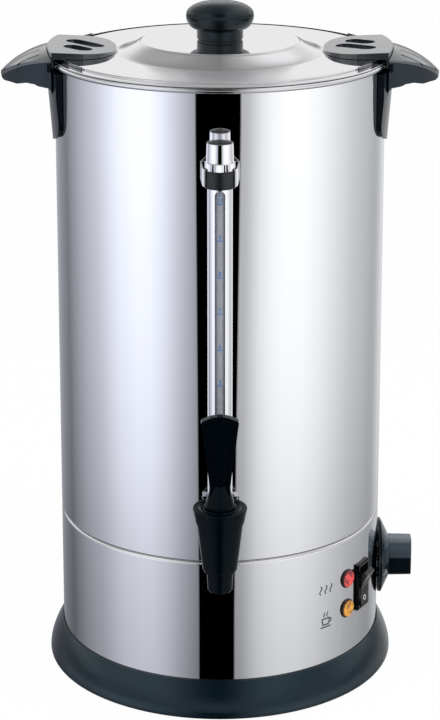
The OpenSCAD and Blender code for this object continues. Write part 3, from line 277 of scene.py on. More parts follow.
@dataclass(frozen=True)
class VesselSteel(Finish):
    """Polished sheet steel with painted shade as a dark line in the joint above the housing."""

    seam_z: float = 113.75 * MM
    seam_half: float = 0.55 * MM
    # colour of the painted shade along the joint
    seam_colour: Colour = (0.10, 0.10, 0.11)

    def tone(self, n: Nodes, where: Socket, mask: Socket) -> Socket:
        """Mixes the base colour and paints shade into the joint.

        Args:
            n: The material's nodes.
            where: The object coordinates.
            mask: The grain's broad mask.

        Returns:
            The colour.
        """
        steel = super().tone(n, where, mask)
        height = n.add("SeparateXYZ", {0: where}).outputs[2]
        away = n.maths("ABSOLUTE", n.maths("SUBTRACT", height, self.seam_z))
        # painted shade: a dark line along the joint between the tank and the housing
        return n.mix(n.span(away, self.seam_half, self.seam_half * 0.5), steel, self.seam_colour)


@dataclass(frozen=True)
class LidSteel(Finish):
    """Polished steel of the lid: painted shade as a dark line round the back of its rim, a duller
    ring in front.
    """

    rim_r: float = 108.0 * MM
    rim_half: float = 2.6 * MM
    # colour of the painted shade line round the back of the rim
    rim_colour: Colour = (0.02, 0.02, 0.025)
    fade_share: float = 0.4
    ring_r: float = 72.0 * MM
    dull: float = 0.42
    dull_half_w: Span = (22.0 * MM, 62.0 * MM)

    def build(self) -> bpy.types.Material:
        """Builds the material.

        Returns:
            The material.
        """
        material = super().build()
        n = Nodes(material.node_tree)
        shader = next(node for node in n.tree.nodes if node.type == "BSDF_PRINCIPLED")
        where = n.add("TexCoord").outputs["Object"]
        # painted shade: the rim's line also darkens the steel's reflection through its specular
        # tint
        edge = n.mix(self.rim_line(n, where), WHITE, self.rim_colour)
        n.tree.links.new(edge, shader.inputs["Specular Tint"])
        gloss = shader.inputs["Roughness"].links[0].from_socket
        rough = n.maths("MAXIMUM", gloss, self.dulled(n, where))
        n.tree.links.new(rough, shader.inputs["Roughness"])
        return material

    def around(self, n: Nodes, where: Socket) -> tuple[bpy.types.Node, Socket]:
        """Splits a place into its coordinates and its distance from the lid's axis.

        Args:
            n: The material's nodes.
            where: The object coordinates.

        Returns:
            The node with the coordinates, and the distance.
        """
        split = n.add("SeparateXYZ", {0: where})
        flat = n.add("CombineXYZ", {0: split.outputs[0], 1: split.outputs[1]})
        return split, n.add("VectorMath", {0: flat.outputs[0]}, operation="LENGTH").outputs["Value"]

    def rim_line(self, n: Nodes, where: Socket) -> Socket:
        """Masks the painted shade line round the back of the rim.

        Args:
            n: The material's nodes.
            where: The object coordinates.

        Returns:
            The mask.
        """
        split, radius = self.around(n, where)
        away = n.maths("ABSOLUTE", n.maths("SUBTRACT", radius, self.rim_r))
        line = n.span(away, self.rim_half, self.rim_half * 0.5)
        back = n.span(split.outputs[1], 0.0, self.rim_r * self.fade_share)
        return n.maths("MULTIPLY", line, back)

    def tone(self, n: Nodes, where: Socket, mask: Socket) -> Socket:
        """Mixes the base colour and darkens the rim's line as painted shade."""
        steel = super().tone(n, where, mask)
        # painted shade along the back of the rim
        return n.mix(self.rim_line(n, where), steel, self.rim_colour)

    def dulled(self, n: Nodes, where: Socket) -> Socket:
        """Gives the roughness of the duller patch in front of the knob, and none elsewhere.

        Args:
            n: The material's nodes.
            where: The object coordinates.

        Returns:
            The roughness.
        """
        split, radius = self.around(n, where)
        sideways = n.maths("ABSOLUTE", split.outputs[0])
        patch = n.span(sideways, *self.dull_half_w, (self.dull, 0.0), soft=True)
        front = n.maths("LESS_THAN", split.outputs[1], 0.0)
        ring = n.maths("GREATER_THAN", radius, self.ring_r)
        return n.maths("MULTIPLY", patch, n.maths("MULTIPLY", ring, front))


@dataclass(frozen=True)
class KnobPlastic(Finish):
    """Gloss plastic of the knobs, with painted light that lightens the top half of the dial's grip.
    """

    grip_x: Span = (118.0 * MM, 124.0 * MM)
    ridge_z: Span = (69.0 * MM, 70.6 * MM)
    bevel_z: Span = (80.5 * MM, 82.0 * MM)
    # colours of the painted light on the grip's top faces
    upper: Colour = (0.050, 0.066, 0.082)
    crest: Colour = (0.13, 0.15, 0.17)

    def tone(self, n: Nodes, where: Socket, mask: Socket) -> Socket:
        """Mixes the base colour and paints light on the grip's top faces.

        Args:
            n: The material's nodes.
            where: The object coordinates.
            mask: The grain's broad mask.

        Returns:
            The colour.
        """
        split = n.add("SeparateXYZ", {0: where})
        out = n.span(split.outputs[0], *self.grip_x)
        colour = super().tone(n, where, mask)
        # painted light: the grip's faces above the ridge and the bevel are made lighter
        for edge, painted_light in ((self.ridge_z, self.upper), (self.bevel_z, self.crest)):
            colour = n.mix(n.maths("MULTIPLY", out, n.span(split.outputs[2], *edge)), colour, painted_light)
        return colour


@dataclass(frozen=True)
class Glass(Finish):
    """Clear or tinted glass and clear plastic, with faint smears."""

    transmission: float = 1.0

    def build(self) -> bpy.types.Material:
        """Builds the material.

        Returns:
            The material.
        """
        material, n, shader, where = self.start()
        shader.inputs["Transmission Weight"].default_value = self.transmission
        handling = n.add("Group", {
            "Scale": self.smear_scale, "Roughness": self.roughness, "Amount": self.smears,
            "Vector": where}, node_tree=handling_group())
        n.tree.links.new(handling.outputs["Roughness"], shader.inputs["Roughness"])
        return material


@dataclass(frozen=True)
class LensFinish(Finish):
    """A pilot lamp's lens: a bright gridded face with dark sides."""

    azimuth: float = 0.0
    face_r: float = 116.5 * MM
    face_depth: Span = (0.35 * MM, 0.05 * MM)
    pitch: float = 1.7 * MM
    cell_edge: Span = (0.05, 0.40)
    cell_shade: Span = (0.15, 1.0)
    patch_scale: float = 260.0
    patch_edge: Span = (0.35, 0.6)
    patch_shade: Span = (0.25, 1.0)
    glow: float = 0.35
    clearness: float = 0.15

    def build(self) -> bpy.types.Material:
        """Builds the material.

        Returns:
            The material.
        """
        material, n, shader, where = self.start()
        turn = math.radians(self.azimuth)
        turned = n.add("VectorRotate", {"Vector": where, "Angle": -turn}, rotation_type="Z_AXIS")
        split = n.add("SeparateXYZ", {0: turned.outputs[0]})
        lines = []
        for axis in (0, 2):
            wave = n.maths("SINE", n.maths("MULTIPLY", split.outputs[axis], math.pi / self.pitch))
            lines.append(n.maths("ABSOLUTE", wave))
        grid = n.maths("MINIMUM", lines[0], lines[1])
        outward = n.maths("MULTIPLY", split.outputs[1], -1.0)
        face = n.span(outward, self.face_r - self.face_depth[0], self.face_r - self.face_depth[1])
        patch = n.add("TexNoise", {"Vector": where, "Scale": self.patch_scale, "Detail": 2.0})
        broad = n.span(patch.outputs[0], *self.patch_edge, self.patch_shade)
        cells = n.span(grid, *self.cell_edge, self.cell_shade)
        mask = n.maths("MULTIPLY", n.maths("MULTIPLY", cells, broad), face)
        tone = n.mix(mask, self.shade, self.colour)
        bump = n.add("Bump", {"Strength": self.bump, "Distance": self.depth, "Height": grid})
        n.tree.links.new(tone, shader.inputs["Base Color"])
        n.tree.links.new(tone, shader.inputs["Emission Color"])
        n.tree.links.new(bump.outputs[0], shader.inputs["Normal"])
        shader.inputs["Emission Strength"].default_value = self.glow
        shader.inputs["Transmission Weight"].default_value = self.clearness
        return material


LAMP_AZ = 51.0
OWN_FINISH = {"lid": "lid_steel"}

POLISHED = {"colour": (0.856, 0.858, 0.874), "shade": (0.846, 0.848, 0.864), "roughness": 0.025,
            "metallic": 1.0, "smears": 0.02, "smear_scale": 9.0, "grain_scale": 900.0,
            "bump": 0.02, "depth": 0.00001}

FINISHES: dict[str, Finish] = {finish.name: finish for finish in (
    VesselSteel("polished_steel", **POLISHED),
    LidSteel("lid_steel", **POLISHED),
    Finish("bright_steel", (0.88, 0.88, 0.90), (0.85, 0.85, 0.87), 0.05, 1.0, smears=0.03,
           smear_scale=60.0, bump=0.02, depth=0.00001),
    Finish("screw_steel", (0.62, 0.62, 0.63), (0.5, 0.5, 0.51), 0.3, 1.0, smears=0.15,
           smear_scale=300.0, bump=0.2),
    Finish("skirt_plastic", (0.0006, 0.0046, 0.0090), (0.0010, 0.0056, 0.0106), 0.22, smears=0.05,
           smear_scale=25.0, bump=0.12, ior=1.55, tint=(0.62, 0.88, 1.0)),
    Finish("handle_plastic", (0.0010, 0.0024, 0.0050), (0.0016, 0.0034, 0.0064), 0.22, smears=0.06,
           smear_scale=50.0, bump=0.15, tint=(0.72, 0.90, 1.0)),
    Finish("cover_plastic", (0.006, 0.008, 0.012), (0.009, 0.011, 0.016), 0.26, smears=0.06,
           smear_scale=50.0, bump=0.15, coat=1.0, coat_roughness=0.18, ior=1.9,
           tint=(0.86, 0.93, 1.0)),
    KnobPlastic("knob_plastic", (0.0010, 0.0032, 0.0054), (0.0018, 0.0044, 0.0070), 0.2,
                smears=0.05, smear_scale=60.0, bump=0.08, tint=(0.75, 0.92, 1.0)),
    Finish("switch_plastic", (0.0018, 0.0024, 0.0030), (0.0028, 0.0036, 0.0044), 0.2, smears=0.06,
           smear_scale=80.0, bump=0.1),
    Finish("tap_plastic", (0.0005, 0.0018, 0.0032), (0.0009, 0.0026, 0.0042), 0.16, smears=0.05,
           smear_scale=60.0, bump=0.06, ior=1.22, tint=(0.70, 0.90, 1.0)),
    Finish("rubber", (0.003, 0.004, 0.006), (0.005, 0.006, 0.008), 0.3, smears=0.08,
           smear_scale=80.0, bump=0.3),
    Glass("gauge_glass", (0.74, 0.76, 0.82), (0.74, 0.76, 0.82), 0.03, smears=0.02, ior=1.47,
          transmission=0.4),
    LensFinish("red_glass", (0.86, 0.09, 0.08), (0.055, 0.012, 0.014), 0.14, bump=0.5,
               depth=0.0003, azimuth=LAMP_AZ),
    LensFinish("amber_glass", (0.92, 0.42, 0.05), (0.075, 0.030, 0.008), 0.14, bump=0.5,
               depth=0.0003, azimuth=LAMP_AZ),
    Finish("plate_steel", (0.34, 0.35, 0.37), (0.27, 0.28, 0.30), 0.4, 0.8, smears=0.2,
           smear_scale=30.0, bump=0.2),
    Finish("aluminium", (0.62, 0.63, 0.64), (0.5, 0.51, 0.52), 0.38, 1.0, smears=0.2,
           smear_scale=60.0, grain_scale=1200.0, bump=0.35),
    Finish("element_sheath", (0.20, 0.19, 0.18), (0.12, 0.10, 0.09), 0.45, 0.9, smears=0.2,
           smear_scale=90.0, bump=0.3),
    Finish("phenolic", (0.10, 0.035, 0.015), (0.06, 0.02, 0.01), 0.42, smears=0.1, bump=0.2),
    Finish("pale_plastic", (0.66, 0.62, 0.52), (0.58, 0.54, 0.45), 0.4, smears=0.1, bump=0.15),
    Finish("silicone", (0.70, 0.70, 0.68), (0.64, 0.64, 0.62), 0.35, smears=0.1, bump=0.1),
)}


@dataclass(frozen=True)
class Print(Finish):
    """A print: a matt ink with a slightly uneven gloss."""


INKS: dict[str, Print] = {ink.name: ink for ink in (
    Print("white_ink", (0.80, 0.80, 0.79), (0.74, 0.74, 0.73), 0.5, bump=0.1),
    Print("blue_ink", (0.02, 0.22, 0.66), (0.03, 0.26, 0.70), 0.5, bump=0.1),
    Print("grey_ink", (0.035, 0.038, 0.042), (0.05, 0.052, 0.056), 0.5, bump=0.1),
)}


class FinishBook:
    """Builds each finish once and lays it on the CAD nodes and the printed marks."""

    def __init__(self) -> None:
        """Starts an empty book."""
        self.made: dict[str, bpy.types.Material] = {}

    def get(self, name: str) -> bpy.types.Material:
        """Returns a finish's material, built on first use.

        Args:
            name: A name of FINISHES or INKS.

        Returns:
            The material.
        """
        if name not in self.made:
            self.made[name] = (FINISHES.get(name) or INKS[name]).build()
        return self.made[name]

    def dress_nodes(self) -> None:
        """Gives every CAD node the finish of its material slot."""
        for part in frame["record"]["subparts"]:
            node = frame["nodes"][part["node"]]
            finish = OWN_FINISH.get(part["node"], part["material_slot"])
            material = self.get(finish)
            if not node.material_slots:
                node.data.materials.append(material)
            for slot in node.material_slots:
                slot.material = material
            log.info("dressed %s in %s", part["node"], finish)


# ---- Printed marks ----

INK_LIFT = 0.02 * MM


class Body(Enum):
    """The bodies that printed marks ride on."""

    URN = "urn"
    DIAL = "thermostat_dial"
    ROCKER = "rocker"


@dataclass
class Sheet:
    """A flat drawing in metres, later given a thickness and laid on a face."""

    thickness: float = 0.06 * MM
    weld: float = 0.0001 * MM
    bm: bmesh.types.BMesh = field(default_factory=bmesh.new)

    def bar(self, x: float, y: float, width: float, height: float, turn: float = 0.0,
            cuts: int = 1) -> None:
        """Adds a bar.

        Args:
            x: Its centre across.
            y: Its centre upwards.
            width: Its width.
            height: Its height.
            turn: Its turn in degrees.
            cuts: How many faces it has across.
        """
        matrix = (Matrix.Translation((x, y, 0.0)) @ Matrix.Rotation(math.radians(turn), 4, "Z")
                  @ Matrix.Diagonal((width, height, 1.0, 1.0)))
        bmesh.ops.create_grid(self.bm, x_segments=cuts, y_segments=1, size=0.5, matrix=matrix)

    def arc(self, x: float, y: float, radius: float, stroke: float, start: float, sweep: float,
            steps: int = 16) -> None:
        """Adds a stroke along an arc.

        Args:
            x: The arc's centre across.
            y: Its centre upwards.
            radius: Its radius to the middle of the stroke.
            stroke: The stroke's width.
            start: The angle at which it starts, in degrees.
            sweep: The angle that it covers.
            steps: How many faces it has.
        """
        ends = [self.bm.verts.new((radius + side * stroke / 2, 0.0, 0.0)) for side in (-1, 1)]
        edge = self.bm.edges.new(ends)
        turned = Matrix.Rotation(math.radians(start), 3, "Z")
        bmesh.ops.rotate(self.bm, verts=ends, cent=(0, 0, 0), matrix=turned)
        bmesh.ops.translate(self.bm, verts=ends, vec=(x, y, 0.0))
        bmesh.ops.spin(self.bm, geom=[*ends, edge], cent=(x, y, 0.0), axis=(0, 0, 1),
                       angle=math.radians(sweep), steps=steps, use_merge=abs(sweep) >= 360.0)

    def words(self, text: str, x: float, y: float, height: float, turn: float = 0.0) -> None:
        """Adds plain figures.

        Args:
            text: The figures.
            x: Their centre across.
            y: Their centre upwards.
            height: The size of the type.
            turn: Their turn in degrees.
        """
        curve = bpy.data.curves.new("figures", "FONT")
        curve.body, curve.size = text, height
        curve.align_x = curve.align_y = "CENTER"
        curve.resolution_u = 3
        holder = bpy.data.objects.new("figures", curve)
        mesh = bpy.data.meshes.new_from_object(holder)
        turned = Matrix.Rotation(math.radians(turn), 4, "Z")
        mesh.transform(Matrix.Translation((x, y, 0.0)) @ turned)
        self.bm.from_mesh(mesh)
        bpy.data.objects.remove(holder)
        bpy.data.curves.remove(curve)
        bpy.data.meshes.remove(mesh)

    def thicken(self) -> None:
        """Gives the drawing its thickness, with its faces pointing outwards."""
        bm = self.bm
        bmesh.ops.remove_doubles(bm, verts=bm.verts, dist=self.weld)
        for face in bm.faces:
            if face.normal.z < 0:
                face.normal_flip()
        made = bmesh.ops.extrude_face_region(bm, geom=bm.faces[:], use_keep_orig=True)
        top = [v for v in made["geom"] if isinstance(v, bmesh.types.BMVert)]
        bmesh.ops.translate(bm, verts=top, vec=(0.0, 0.0, self.thickness))
        bmesh.ops.recalc_face_normals(bm, faces=bm.faces)

    def wrap(self, centre: Vector, radius: float, azimuth: float, height: float) -> None:
        """Lays the drawing on an upright cylinder.

        Args:
            centre: A point of the cylinder's axis.
            radius: The cylinder's radius.
            azimuth: The direction of the drawing's middle from the front, in degrees.
            height: The height of the drawing's middle.
        """
        for vert in self.bm.verts:
            angle = math.radians(azimuth) + vert.co.x / radius
            reach = radius + INK_LIFT + vert.co.z
            vert.co = (centre.x + reach * math.sin(angle), centre.y - reach * math.cos(angle),
                       height + vert.co.y)

    def lay(self, origin: Vector, right: Vector, up: Vector) -> None:
        """Lays the drawing on a flat face.

        Args:
            origin: Where its middle goes.
            right: The direction of its width.
            up: The direction of its height.
        """
        out = right.cross(up).normalized()
        matrix = Matrix((right.normalized(), up.normalized(), out)).transposed().to_4x4()
        matrix.translation = origin + out * INK_LIFT
        bmesh.ops.transform(self.bm, matrix=matrix, verts=self.bm.verts)

    def finish(self, name: str, material: bpy.types.Material, body: Body) -> bpy.types.Object:
        """Makes the drawing an object.

        Args:
            name: The object's name.
            material: Its ink.
            body: The body that it rides on.

        Returns:
            The object.
        """
        mesh = bpy.data.meshes.new(name)
        self.bm.to_mesh(mesh)
        self.bm.free()
        piece = bpy.data.objects.new(name, mesh)
        bpy.context.scene.collection.objects.link(piece)
        mesh.materials.append(material)
        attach(piece, body.value)
        log.info("printed %s on %s", name, body.value)
        return piece


@dataclass
class GaugeMarks:
    """The litre marks on the sight gauge's glass."""

    axis_y: float = -131.0 * MM
    radius: float = 4.6 * MM
    first_litre: int = 4
    first_z: float = 223.4 * MM
    pitch: float = 24.6 * MM
    count: int = 7
    tick: Span = (4.0 * MM, 0.55 * MM)
    tick_y: float = -1.2 * MM
    figure_h: float = 4.2 * MM
    figure_y: float = 1.1 * MM
    unit_h: float = 3.4 * MM
    unit_y: float = 5.0 * MM

    def build(self, book: FinishBook) -> None:
        """Prints a tick and a figure for each litre.

        Args:
            book: The finishes.
        """
        for step in range(self.count):
            litre = self.first_litre + step
            sheet = Sheet()
            sheet.bar(0.0, self.tick_y, *self.tick, cuts=6)
            sheet.words(str(litre), 0.0, self.figure_y, self.figure_h)
            if step == self.count - 1:
                sheet.words("L", 0.0, self.unit_y, self.unit_h)
            sheet.thicken()
            height = self.first_z + step * self.pitch
            sheet.wrap(Vector((0.0, self.axis_y, 0.0)), self.radius, 0.0, height)
            sheet.finish("gauge_mark_%d" % litre, book.get("blue_ink"), Body.URN)


@dataclass
class HousingPrints:
    """The plain signs beside the lamps and the dial's index on the lower housing."""

    radius: float = 114.5 * MM
    heat_az: float = 40.0
    heat_z: float = 81.6 * MM
    warm_az: float = 40.0
    warm_z: float = 59.4 * MM
    stroke: float = 0.9 * MM
    wave_h: float = 7.0 * MM
    wave_gap: float = 2.7
    wave_shift: Span = (0.4, -0.6)
    wave_join: float = 0.73
    cup_w: float = 7.0 * MM
    cup_side: Span = (3.1 * MM, 4.6 * MM)
    cup_side_lean: float = 12.0
    cup_middle_y: float = -2.2 * MM
    cup_foot: Span = (-4.4 * MM, 5.2 * MM)
    saucer: Span = (-6.2 * MM, 9.4 * MM)
    ear: Point = (3.6 * MM, -1.9 * MM, 1.5 * MM)
    steam_x: float = 1.4 * MM
    steam_bend: float = 1.0 * MM
    steam_y: Span = (2.2 * MM, 3.9 * MM)
    steam_stroke: float = 0.8
    index: Span = (1.2 * MM, 4.0 * MM)
    index_az: float = 90.0
    index_z: float = 100.9 * MM

    def wave(self, sheet: Sheet, x: float, low_y: float, high_y: float, bend: float, stroke: float,
             steps: int) -> None:
        """Draws a wave that rises through two arcs about x, each with its middle's height."""
        sheet.arc(x + bend * self.wave_shift[0], low_y, bend, stroke, 120.0, 120.0, steps)
        sheet.arc(x + bend * self.wave_shift[1], high_y, bend, stroke, -60.0, 120.0, steps)

    def heat_waves(self, sheet: Sheet) -> None:
        """Draws three rising waves.

        Args:
            sheet: The drawing.
        """
        bend = self.wave_h / 4
        for place in (-1, 0, 1):
            x = place * self.wave_gap * bend
            self.wave(sheet, x, -bend, bend * self.wave_join, bend, self.stroke, 8)

    def cup(self, sheet: Sheet) -> None:
        """Draws a cup with its handle, a saucer and a wisp of steam.

        Args:
            sheet: The drawing.
        """
        w = self.stroke
        sheet.bar(0.0, 0.0, self.cup_w, w, cuts=6)
        for side in (-1, 1):
            sheet.bar(side * self.cup_side[0], self.cup_middle_y, w, self.cup_side[1],
                      -side * self.cup_side_lean)
        sheet.bar(0.0, self.cup_foot[0], self.cup_foot[1], w, cuts=4)
        sheet.bar(0.0, self.saucer[0], self.saucer[1], w, cuts=6)
        sheet.arc(*self.ear, w, -80.0, 160.0, 8)
        for side in (-1, 1):
            self.wave(sheet, side * self.steam_x, *self.steam_y, self.steam_bend,
                      w * self.steam_stroke, 6)

    def index_line(self, sheet: Sheet) -> None:
        """Draws the line that the dial's figures are read against."""
        sheet.bar(0.0, 0.0, *self.index)

    def build(self, book: FinishBook) -> None:
        """Prints the signs.

        Args:
            book: The finishes.
        """
        for name, azimuth, height, draw in (
                ("heat_sign", self.heat_az, self.heat_z, self.heat_waves),
                ("keep_warm_sign", self.warm_az, self.warm_z, self.cup),
                ("dial_index", self.index_az, self.index_z, self.index_line)):
            sheet = Sheet()
            draw(sheet)
            sheet.thicken()
            sheet.wrap(Vector((0.0, 0.0, 0.0)), self.radius, azimuth, height)
            sheet.finish(name, book.get("grey_ink"), Body.URN)


@dataclass
class DialFigures:
    """The figures round the thermostat knob's skirt."""

    axis_z: float = 69.8 * MM
    inner_r: float = 16.0 * MM
    outer_r: float = 26.4 * MM
    inner_x: float = 122.3 * MM
    outer_x: float = 117.2 * MM
    low: int = 30
    step: int = 10
    count: int = 9
    first_turn: float = -105.0
    turn_step: float = -30.0
    figure_h: float = 3.5 * MM
    figure_y: float = -0.9 * MM
    tick: Span = (0.5 * MM, 1.6 * MM)
    tick_y: float = 2.6 * MM

    def build(self, book: FinishBook) -> None:
        """Prints a tick and a figure for each step of the dial.

        Args:
            book: The finishes.
        """
        for place in range(self.count):
            figure = self.low + self.step * place
            sheet = Sheet()
            sheet.words(str(figure), 0.0, self.figure_y, self.figure_h)
            sheet.bar(0.0, self.tick_y, *self.tick)
            sheet.thicken()
            angle = math.radians(self.first_turn + self.turn_step * place)
            outward = Vector((0.0, math.sin(angle), math.cos(angle)))
            up = (outward * (self.outer_r - self.inner_r)
                  + Vector((self.outer_x - self.inner_x, 0.0, 0.0))).normalized()
            middle_r = (self.inner_r + self.outer_r) / 2
            middle_x = (self.inner_x + self.outer_x) / 2
            middle = Vector((middle_x, 0.0, self.axis_z)) + outward * middle_r
            right = Vector((0.0, math.cos(angle), -math.sin(angle)))
            sheet.lay(middle, right, up)
            sheet.finish("dial_figure_%d" % figure, book.get("white_ink"), Body.DIAL)


@dataclass
class RockerMarks:
    """The ring and the line on the rocker's face."""

    azimuth: float = 60.8
    pivot_r: float = 110.0 * MM
    pivot_z: float = 71.3 * MM
    tilt: float = 10.0
    face: Span = (8.8 * MM, 8.2 * MM)
    lean: float = 16.9
    line: Span = (0.7 * MM, 3.6 * MM)
    ring: Span = (1.5 * MM, 0.6 * MM)

    def build(self, book: FinishBook) -> None:
        """Prints the marks on the two halves.

        Args:
            book: The finishes.
        """
        turn = math.radians(self.azimuth)
        outward = Vector((math.sin(turn), -math.cos(turn), 0.0))
        along = Vector((math.cos(turn), math.sin(turn), 0.0))
        for name, side in (("rocker_on_mark", 1.0), ("rocker_off_mark", -1.0)):
            rock = math.radians(self.tilt)
            x, z = self.face[0], side * self.face[1]
            out = x * math.cos(rock) + z * math.sin(rock)
            rise = -x * math.sin(rock) + z * math.cos(rock)
            slope = math.radians(90.0 - side * self.lean - self.tilt)
            up = outward * math.cos(slope) + Vector((0, 0, 1)) * math.sin(slope)
            sheet = Sheet()
            if side > 0:
                sheet.bar(0.0, 0.0, *self.line)
            else:
                sheet.arc(0.0, 0.0, *self.ring, 0.0, 360.0, 24)
            sheet.thicken()
            middle = outward * (self.pivot_r + out) + Vector((0, 0, self.pivot_z + rise))
            sheet.lay(middle, along, up)
            sheet.finish(name, book.get("white_ink"), Body.ROCKER)


# ---- Studio ----

@dataclass
class Studio:
    """A white floor, soft lamps, a white surround with a black flag in front, and the camera."""

    left: Stops = field(default_factory=lambda: [
        (-180, 0.58), (-165, 0.40), (-150, 0.28), (-135, 0.20), (-110, 0.48), (-95, 0.63),
        (-75, 0.97), (-60, 1.08), (-50, 1.06), (-40, 0.90), (-30, 0.65), (-17, 0.37),
        (-16.3, 0.0), (0, 0.0)])
    right: Stops = field(default_factory=lambda: [
        (0, 0.0), (12.9, 0.0), (13.5, 0.50), (18, 0.56), (28, 0.90), (36, 1.05), (45, 1.13),
        (60, 1.13), (75, 1.00), (90, 0.82), (105, 0.66), (135, 0.47), (142, 0.48), (160, 0.74),
        (180, 0.58)])
    left_fall: Stops = field(default_factory=lambda: [
        (-1, 0.30), (-0.45, 0.54), (-0.40, 0.68), (-0.36, 0.86), (-0.33, 0.95), (-0.30, 1.02),
        (-0.23, 1.12), (0, 1.12)])
    right_fall: Stops = field(default_factory=lambda: [
        (-1, 0.35), (-0.45, 0.62), (-0.40, 0.75), (-0.36, 0.89), (-0.33, 0.965), (-0.30, 1.01),
        (-0.23, 1.05), (0, 1.05)])
    overhead: Stops = field(default_factory=lambda: [
        (-0.8, 0.45), (-0.3, 0.40), (-0.15, 0.29), (0.0, 0.23), (0.15, 0.46), (0.25, 0.76),
        (0.32, 0.92), (0.6, 0.95), (1.0, 0.90)])
    behind: Stops = field(default_factory=lambda: [
        (0.0, 0.30), (0.05, 0.36), (0.12, 0.78), (0.17, 0.90), (0.23, 0.90), (0.30, 0.84),
        (0.40, 0.76), (0.5, 0.60), (0.7, 0.30), (1.0, 0.15)])
    canopy: Stops = field(default_factory=lambda: [
        (-0.9, 0.90), (-0.6, 0.95), (-0.35, 0.45), (-0.15, 0.05), (0.0, 0.01), (0.12, 0.05),
        (0.35, 0.75), (0.6, 0.95), (0.8, 0.60), (1.0, 0.45)])
    left_draw: Span = (0.0, -1.7)
    right_draw: Span = (-1.0, 2.9)
    draw_z: Span = (-0.22, -0.42)
    left_tint: Colour = (0.97, 1.0, 1.11)
    right_tint: Colour = (0.99, 1.0, 1.02)
    high_z: Span = (0.35, 0.6)
    near_y: Span = (0.0, -0.25)
    canopy_z: Span = (0.10, 0.30)
    lift_z: Span = (-0.16, -0.04)
    front_grey: Colour = (0.6, 0.6, 0.6)
    room_grey: Colour = (0.55, 0.56, 0.58)
    floor_half: float = 15.0
    floor_grey: Colour = (0.9, 0.9, 0.9)
    floor_glow: float = 0.97
    lamps: tuple[tuple[str, Point, float, float], ...] = (
        ("top_lamp", (0.3, -0.4, 2.2), 1.2, 18.0),
        ("left_lamp", (-1.8, -1.3, 1.1), 1.0, 16.0),
        ("right_lamp", (1.9, -0.9, 1.0), 1.0, 16.0))
    aim: Point = (0.0, 0.0, 0.25)
    lens: float = 113.3
    sensor: float = 36.0
    shift_y: float = -0.25
    far_clip: float = 60.0
    eye: Point = (0.0, -1.5422, 0.7387)
    tilt: float = 75.92

    def world(self) -> None:
        """Makes the surround: white to the camera, grey to diffuse light, cards to glossy rays."""
        world = bpy.data.worlds.new("surround")
        bpy.context.scene.world = world
        world.use_nodes = True
        world.node_tree.nodes.clear()
        n = Nodes(world.node_tree)
        way = n.add("SeparateXYZ", {0: n.add("TexCoord").outputs["Generated"]})
        angle = n.maths("ARCTAN2", way.outputs[0], n.maths("MULTIPLY", way.outputs[1], -1.0))
        turn = n.maths("MULTIPLY", angle, math.degrees(1.0))
        halves = []
        for around, fall, tint, draw, ends in (
                (self.left, self.left_fall, self.left_tint, self.left_draw, (-180.0, 0.0)),
                (self.right, self.right_fall, self.right_tint, self.right_draw, (0.0, 180.0))):
            drawn = n.maths("ADD", turn, n.span(way.outputs[2], *self.draw_z, draw))
            level = n.ramp(drawn, around, *ends)
            card = n.mix(1.0, level, n.ramp(way.outputs[2], fall, -1.0, 0.0), "MULTIPLY")
            halves.append(n.mix(1.0, card, tint, "MULTIPLY"))
        cards = n.mix(n.maths("GREATER_THAN", turn, 0.0), *halves)
        sky = n.mix(n.span(way.outputs[2], *self.high_z),
                    n.ramp(way.outputs[2], self.behind, 0.0, 1.0),
                    n.ramp(way.outputs[0], self.overhead, -1.0, 1.0))
        front = n.mix(n.span(way.outputs[2], *self.canopy_z), self.front_grey,
                      n.ramp(way.outputs[0], self.canopy, -1.0, 1.0))
        top = n.mix(n.span(way.outputs[1], *self.near_y), sky, front)
        seen = n.mix(n.span(way.outputs[2], *self.lift_z), cards, top)
        path = n.add("LightPath")
        gloss = n.maths("MAXIMUM", path.outputs["Is Glossy Ray"],
                        path.outputs["Is Transmission Ray"])
        plain = n.mix(path.outputs["Is Camera Ray"], self.room_grey, WHITE)
        colour = n.mix(gloss, plain, seen)
        n.add("OutputWorld", {0: n.add("Background", {0: colour, 1: 1.0}).outputs[0]})

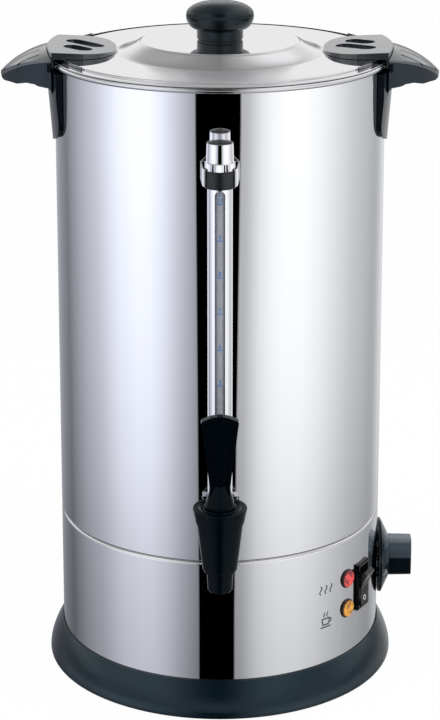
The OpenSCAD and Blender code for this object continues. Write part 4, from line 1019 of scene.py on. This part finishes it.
    def floor(self) -> None:
        """Lays the white floor, which keeps a soft shadow."""
        bm = bmesh.new()
        bmesh.ops.create_grid(bm, x_segments=1, y_segments=1, size=self.floor_half)
        mesh = bpy.data.meshes.new("floor")
        bm.to_mesh(mesh)
        bm.free()
        plane = bpy.data.objects.new("floor", mesh)
        bpy.context.scene.collection.objects.link(plane)
        material = bpy.data.materials.new("floor")
        material.use_nodes = True
        material.node_tree.nodes.clear()
        n = Nodes(material.node_tree)
        path = n.add("LightPath")
        cloth = n.add("BsdfDiffuse", {"Color": (*self.floor_grey, 1.0)})
        white = n.add("Emission", {"Color": (*WHITE, 1.0), "Strength": 1.0})
        share = n.maths("MULTIPLY", path.outputs["Is Camera Ray"], self.floor_glow)
        n.add("OutputMaterial", {0: n.add("MixShader", {0: share, 1: cloth.outputs[0],
                                                        2: white.outputs[0]}).outputs[0]})
        mesh.materials.append(material)
        plane.visible_glossy = False
        plane.visible_transmission = False

    def lamp(self, name: str, place: Vector, size: float, power: float) -> None:
        """Hangs a soft square lamp that points at the urn.

        Args:
            name: Its name.
            place: Where it hangs.
            size: Its side.
            power: Its power in watts.
        """
        light = bpy.data.lights.new(name, "AREA")
        light.shape, light.size, light.energy = "SQUARE", size, power
        lamp = bpy.data.objects.new(name, light)
        bpy.context.scene.collection.objects.link(lamp)
        lamp.location = place
        lamp.rotation_euler = (Vector(self.aim) - place).to_track_quat("-Z", "Y").to_euler()
        lamp.visible_glossy = False

    def camera(self) -> None:
        """Sets the camera up."""
        data = bpy.data.cameras.new("camera")
        data.lens, data.sensor_width, data.sensor_fit = self.lens, self.sensor, "AUTO"
        data.shift_x, data.shift_y = 0.0, self.shift_y
        data.clip_end = self.far_clip
        camera = bpy.data.objects.new("camera", data)
        bpy.context.scene.collection.objects.link(camera)
        camera.location = self.eye
        camera.rotation_euler = (math.radians(self.tilt), 0.0, 0.0)
        bpy.context.scene.camera = camera

    def build(self) -> None:
        """Builds the studio."""
        bpy.context.scene.view_settings.view_transform = "Standard"
        self.world()
        self.floor()
        for name, place, size, power in self.lamps:
            self.lamp(name, Vector(place), size, power)
        self.camera()
        log.info("studio ready")


def main() -> None:
    """Dresses the urn and sets up the studio."""
    Studio().build()
    book = FinishBook()
    book.dress_nodes()
    for marks in (GaugeMarks(), HousingPrints(), DialFigures(), RockerMarks()):
        marks.build(book)


if __name__ == "__main__":
    main()
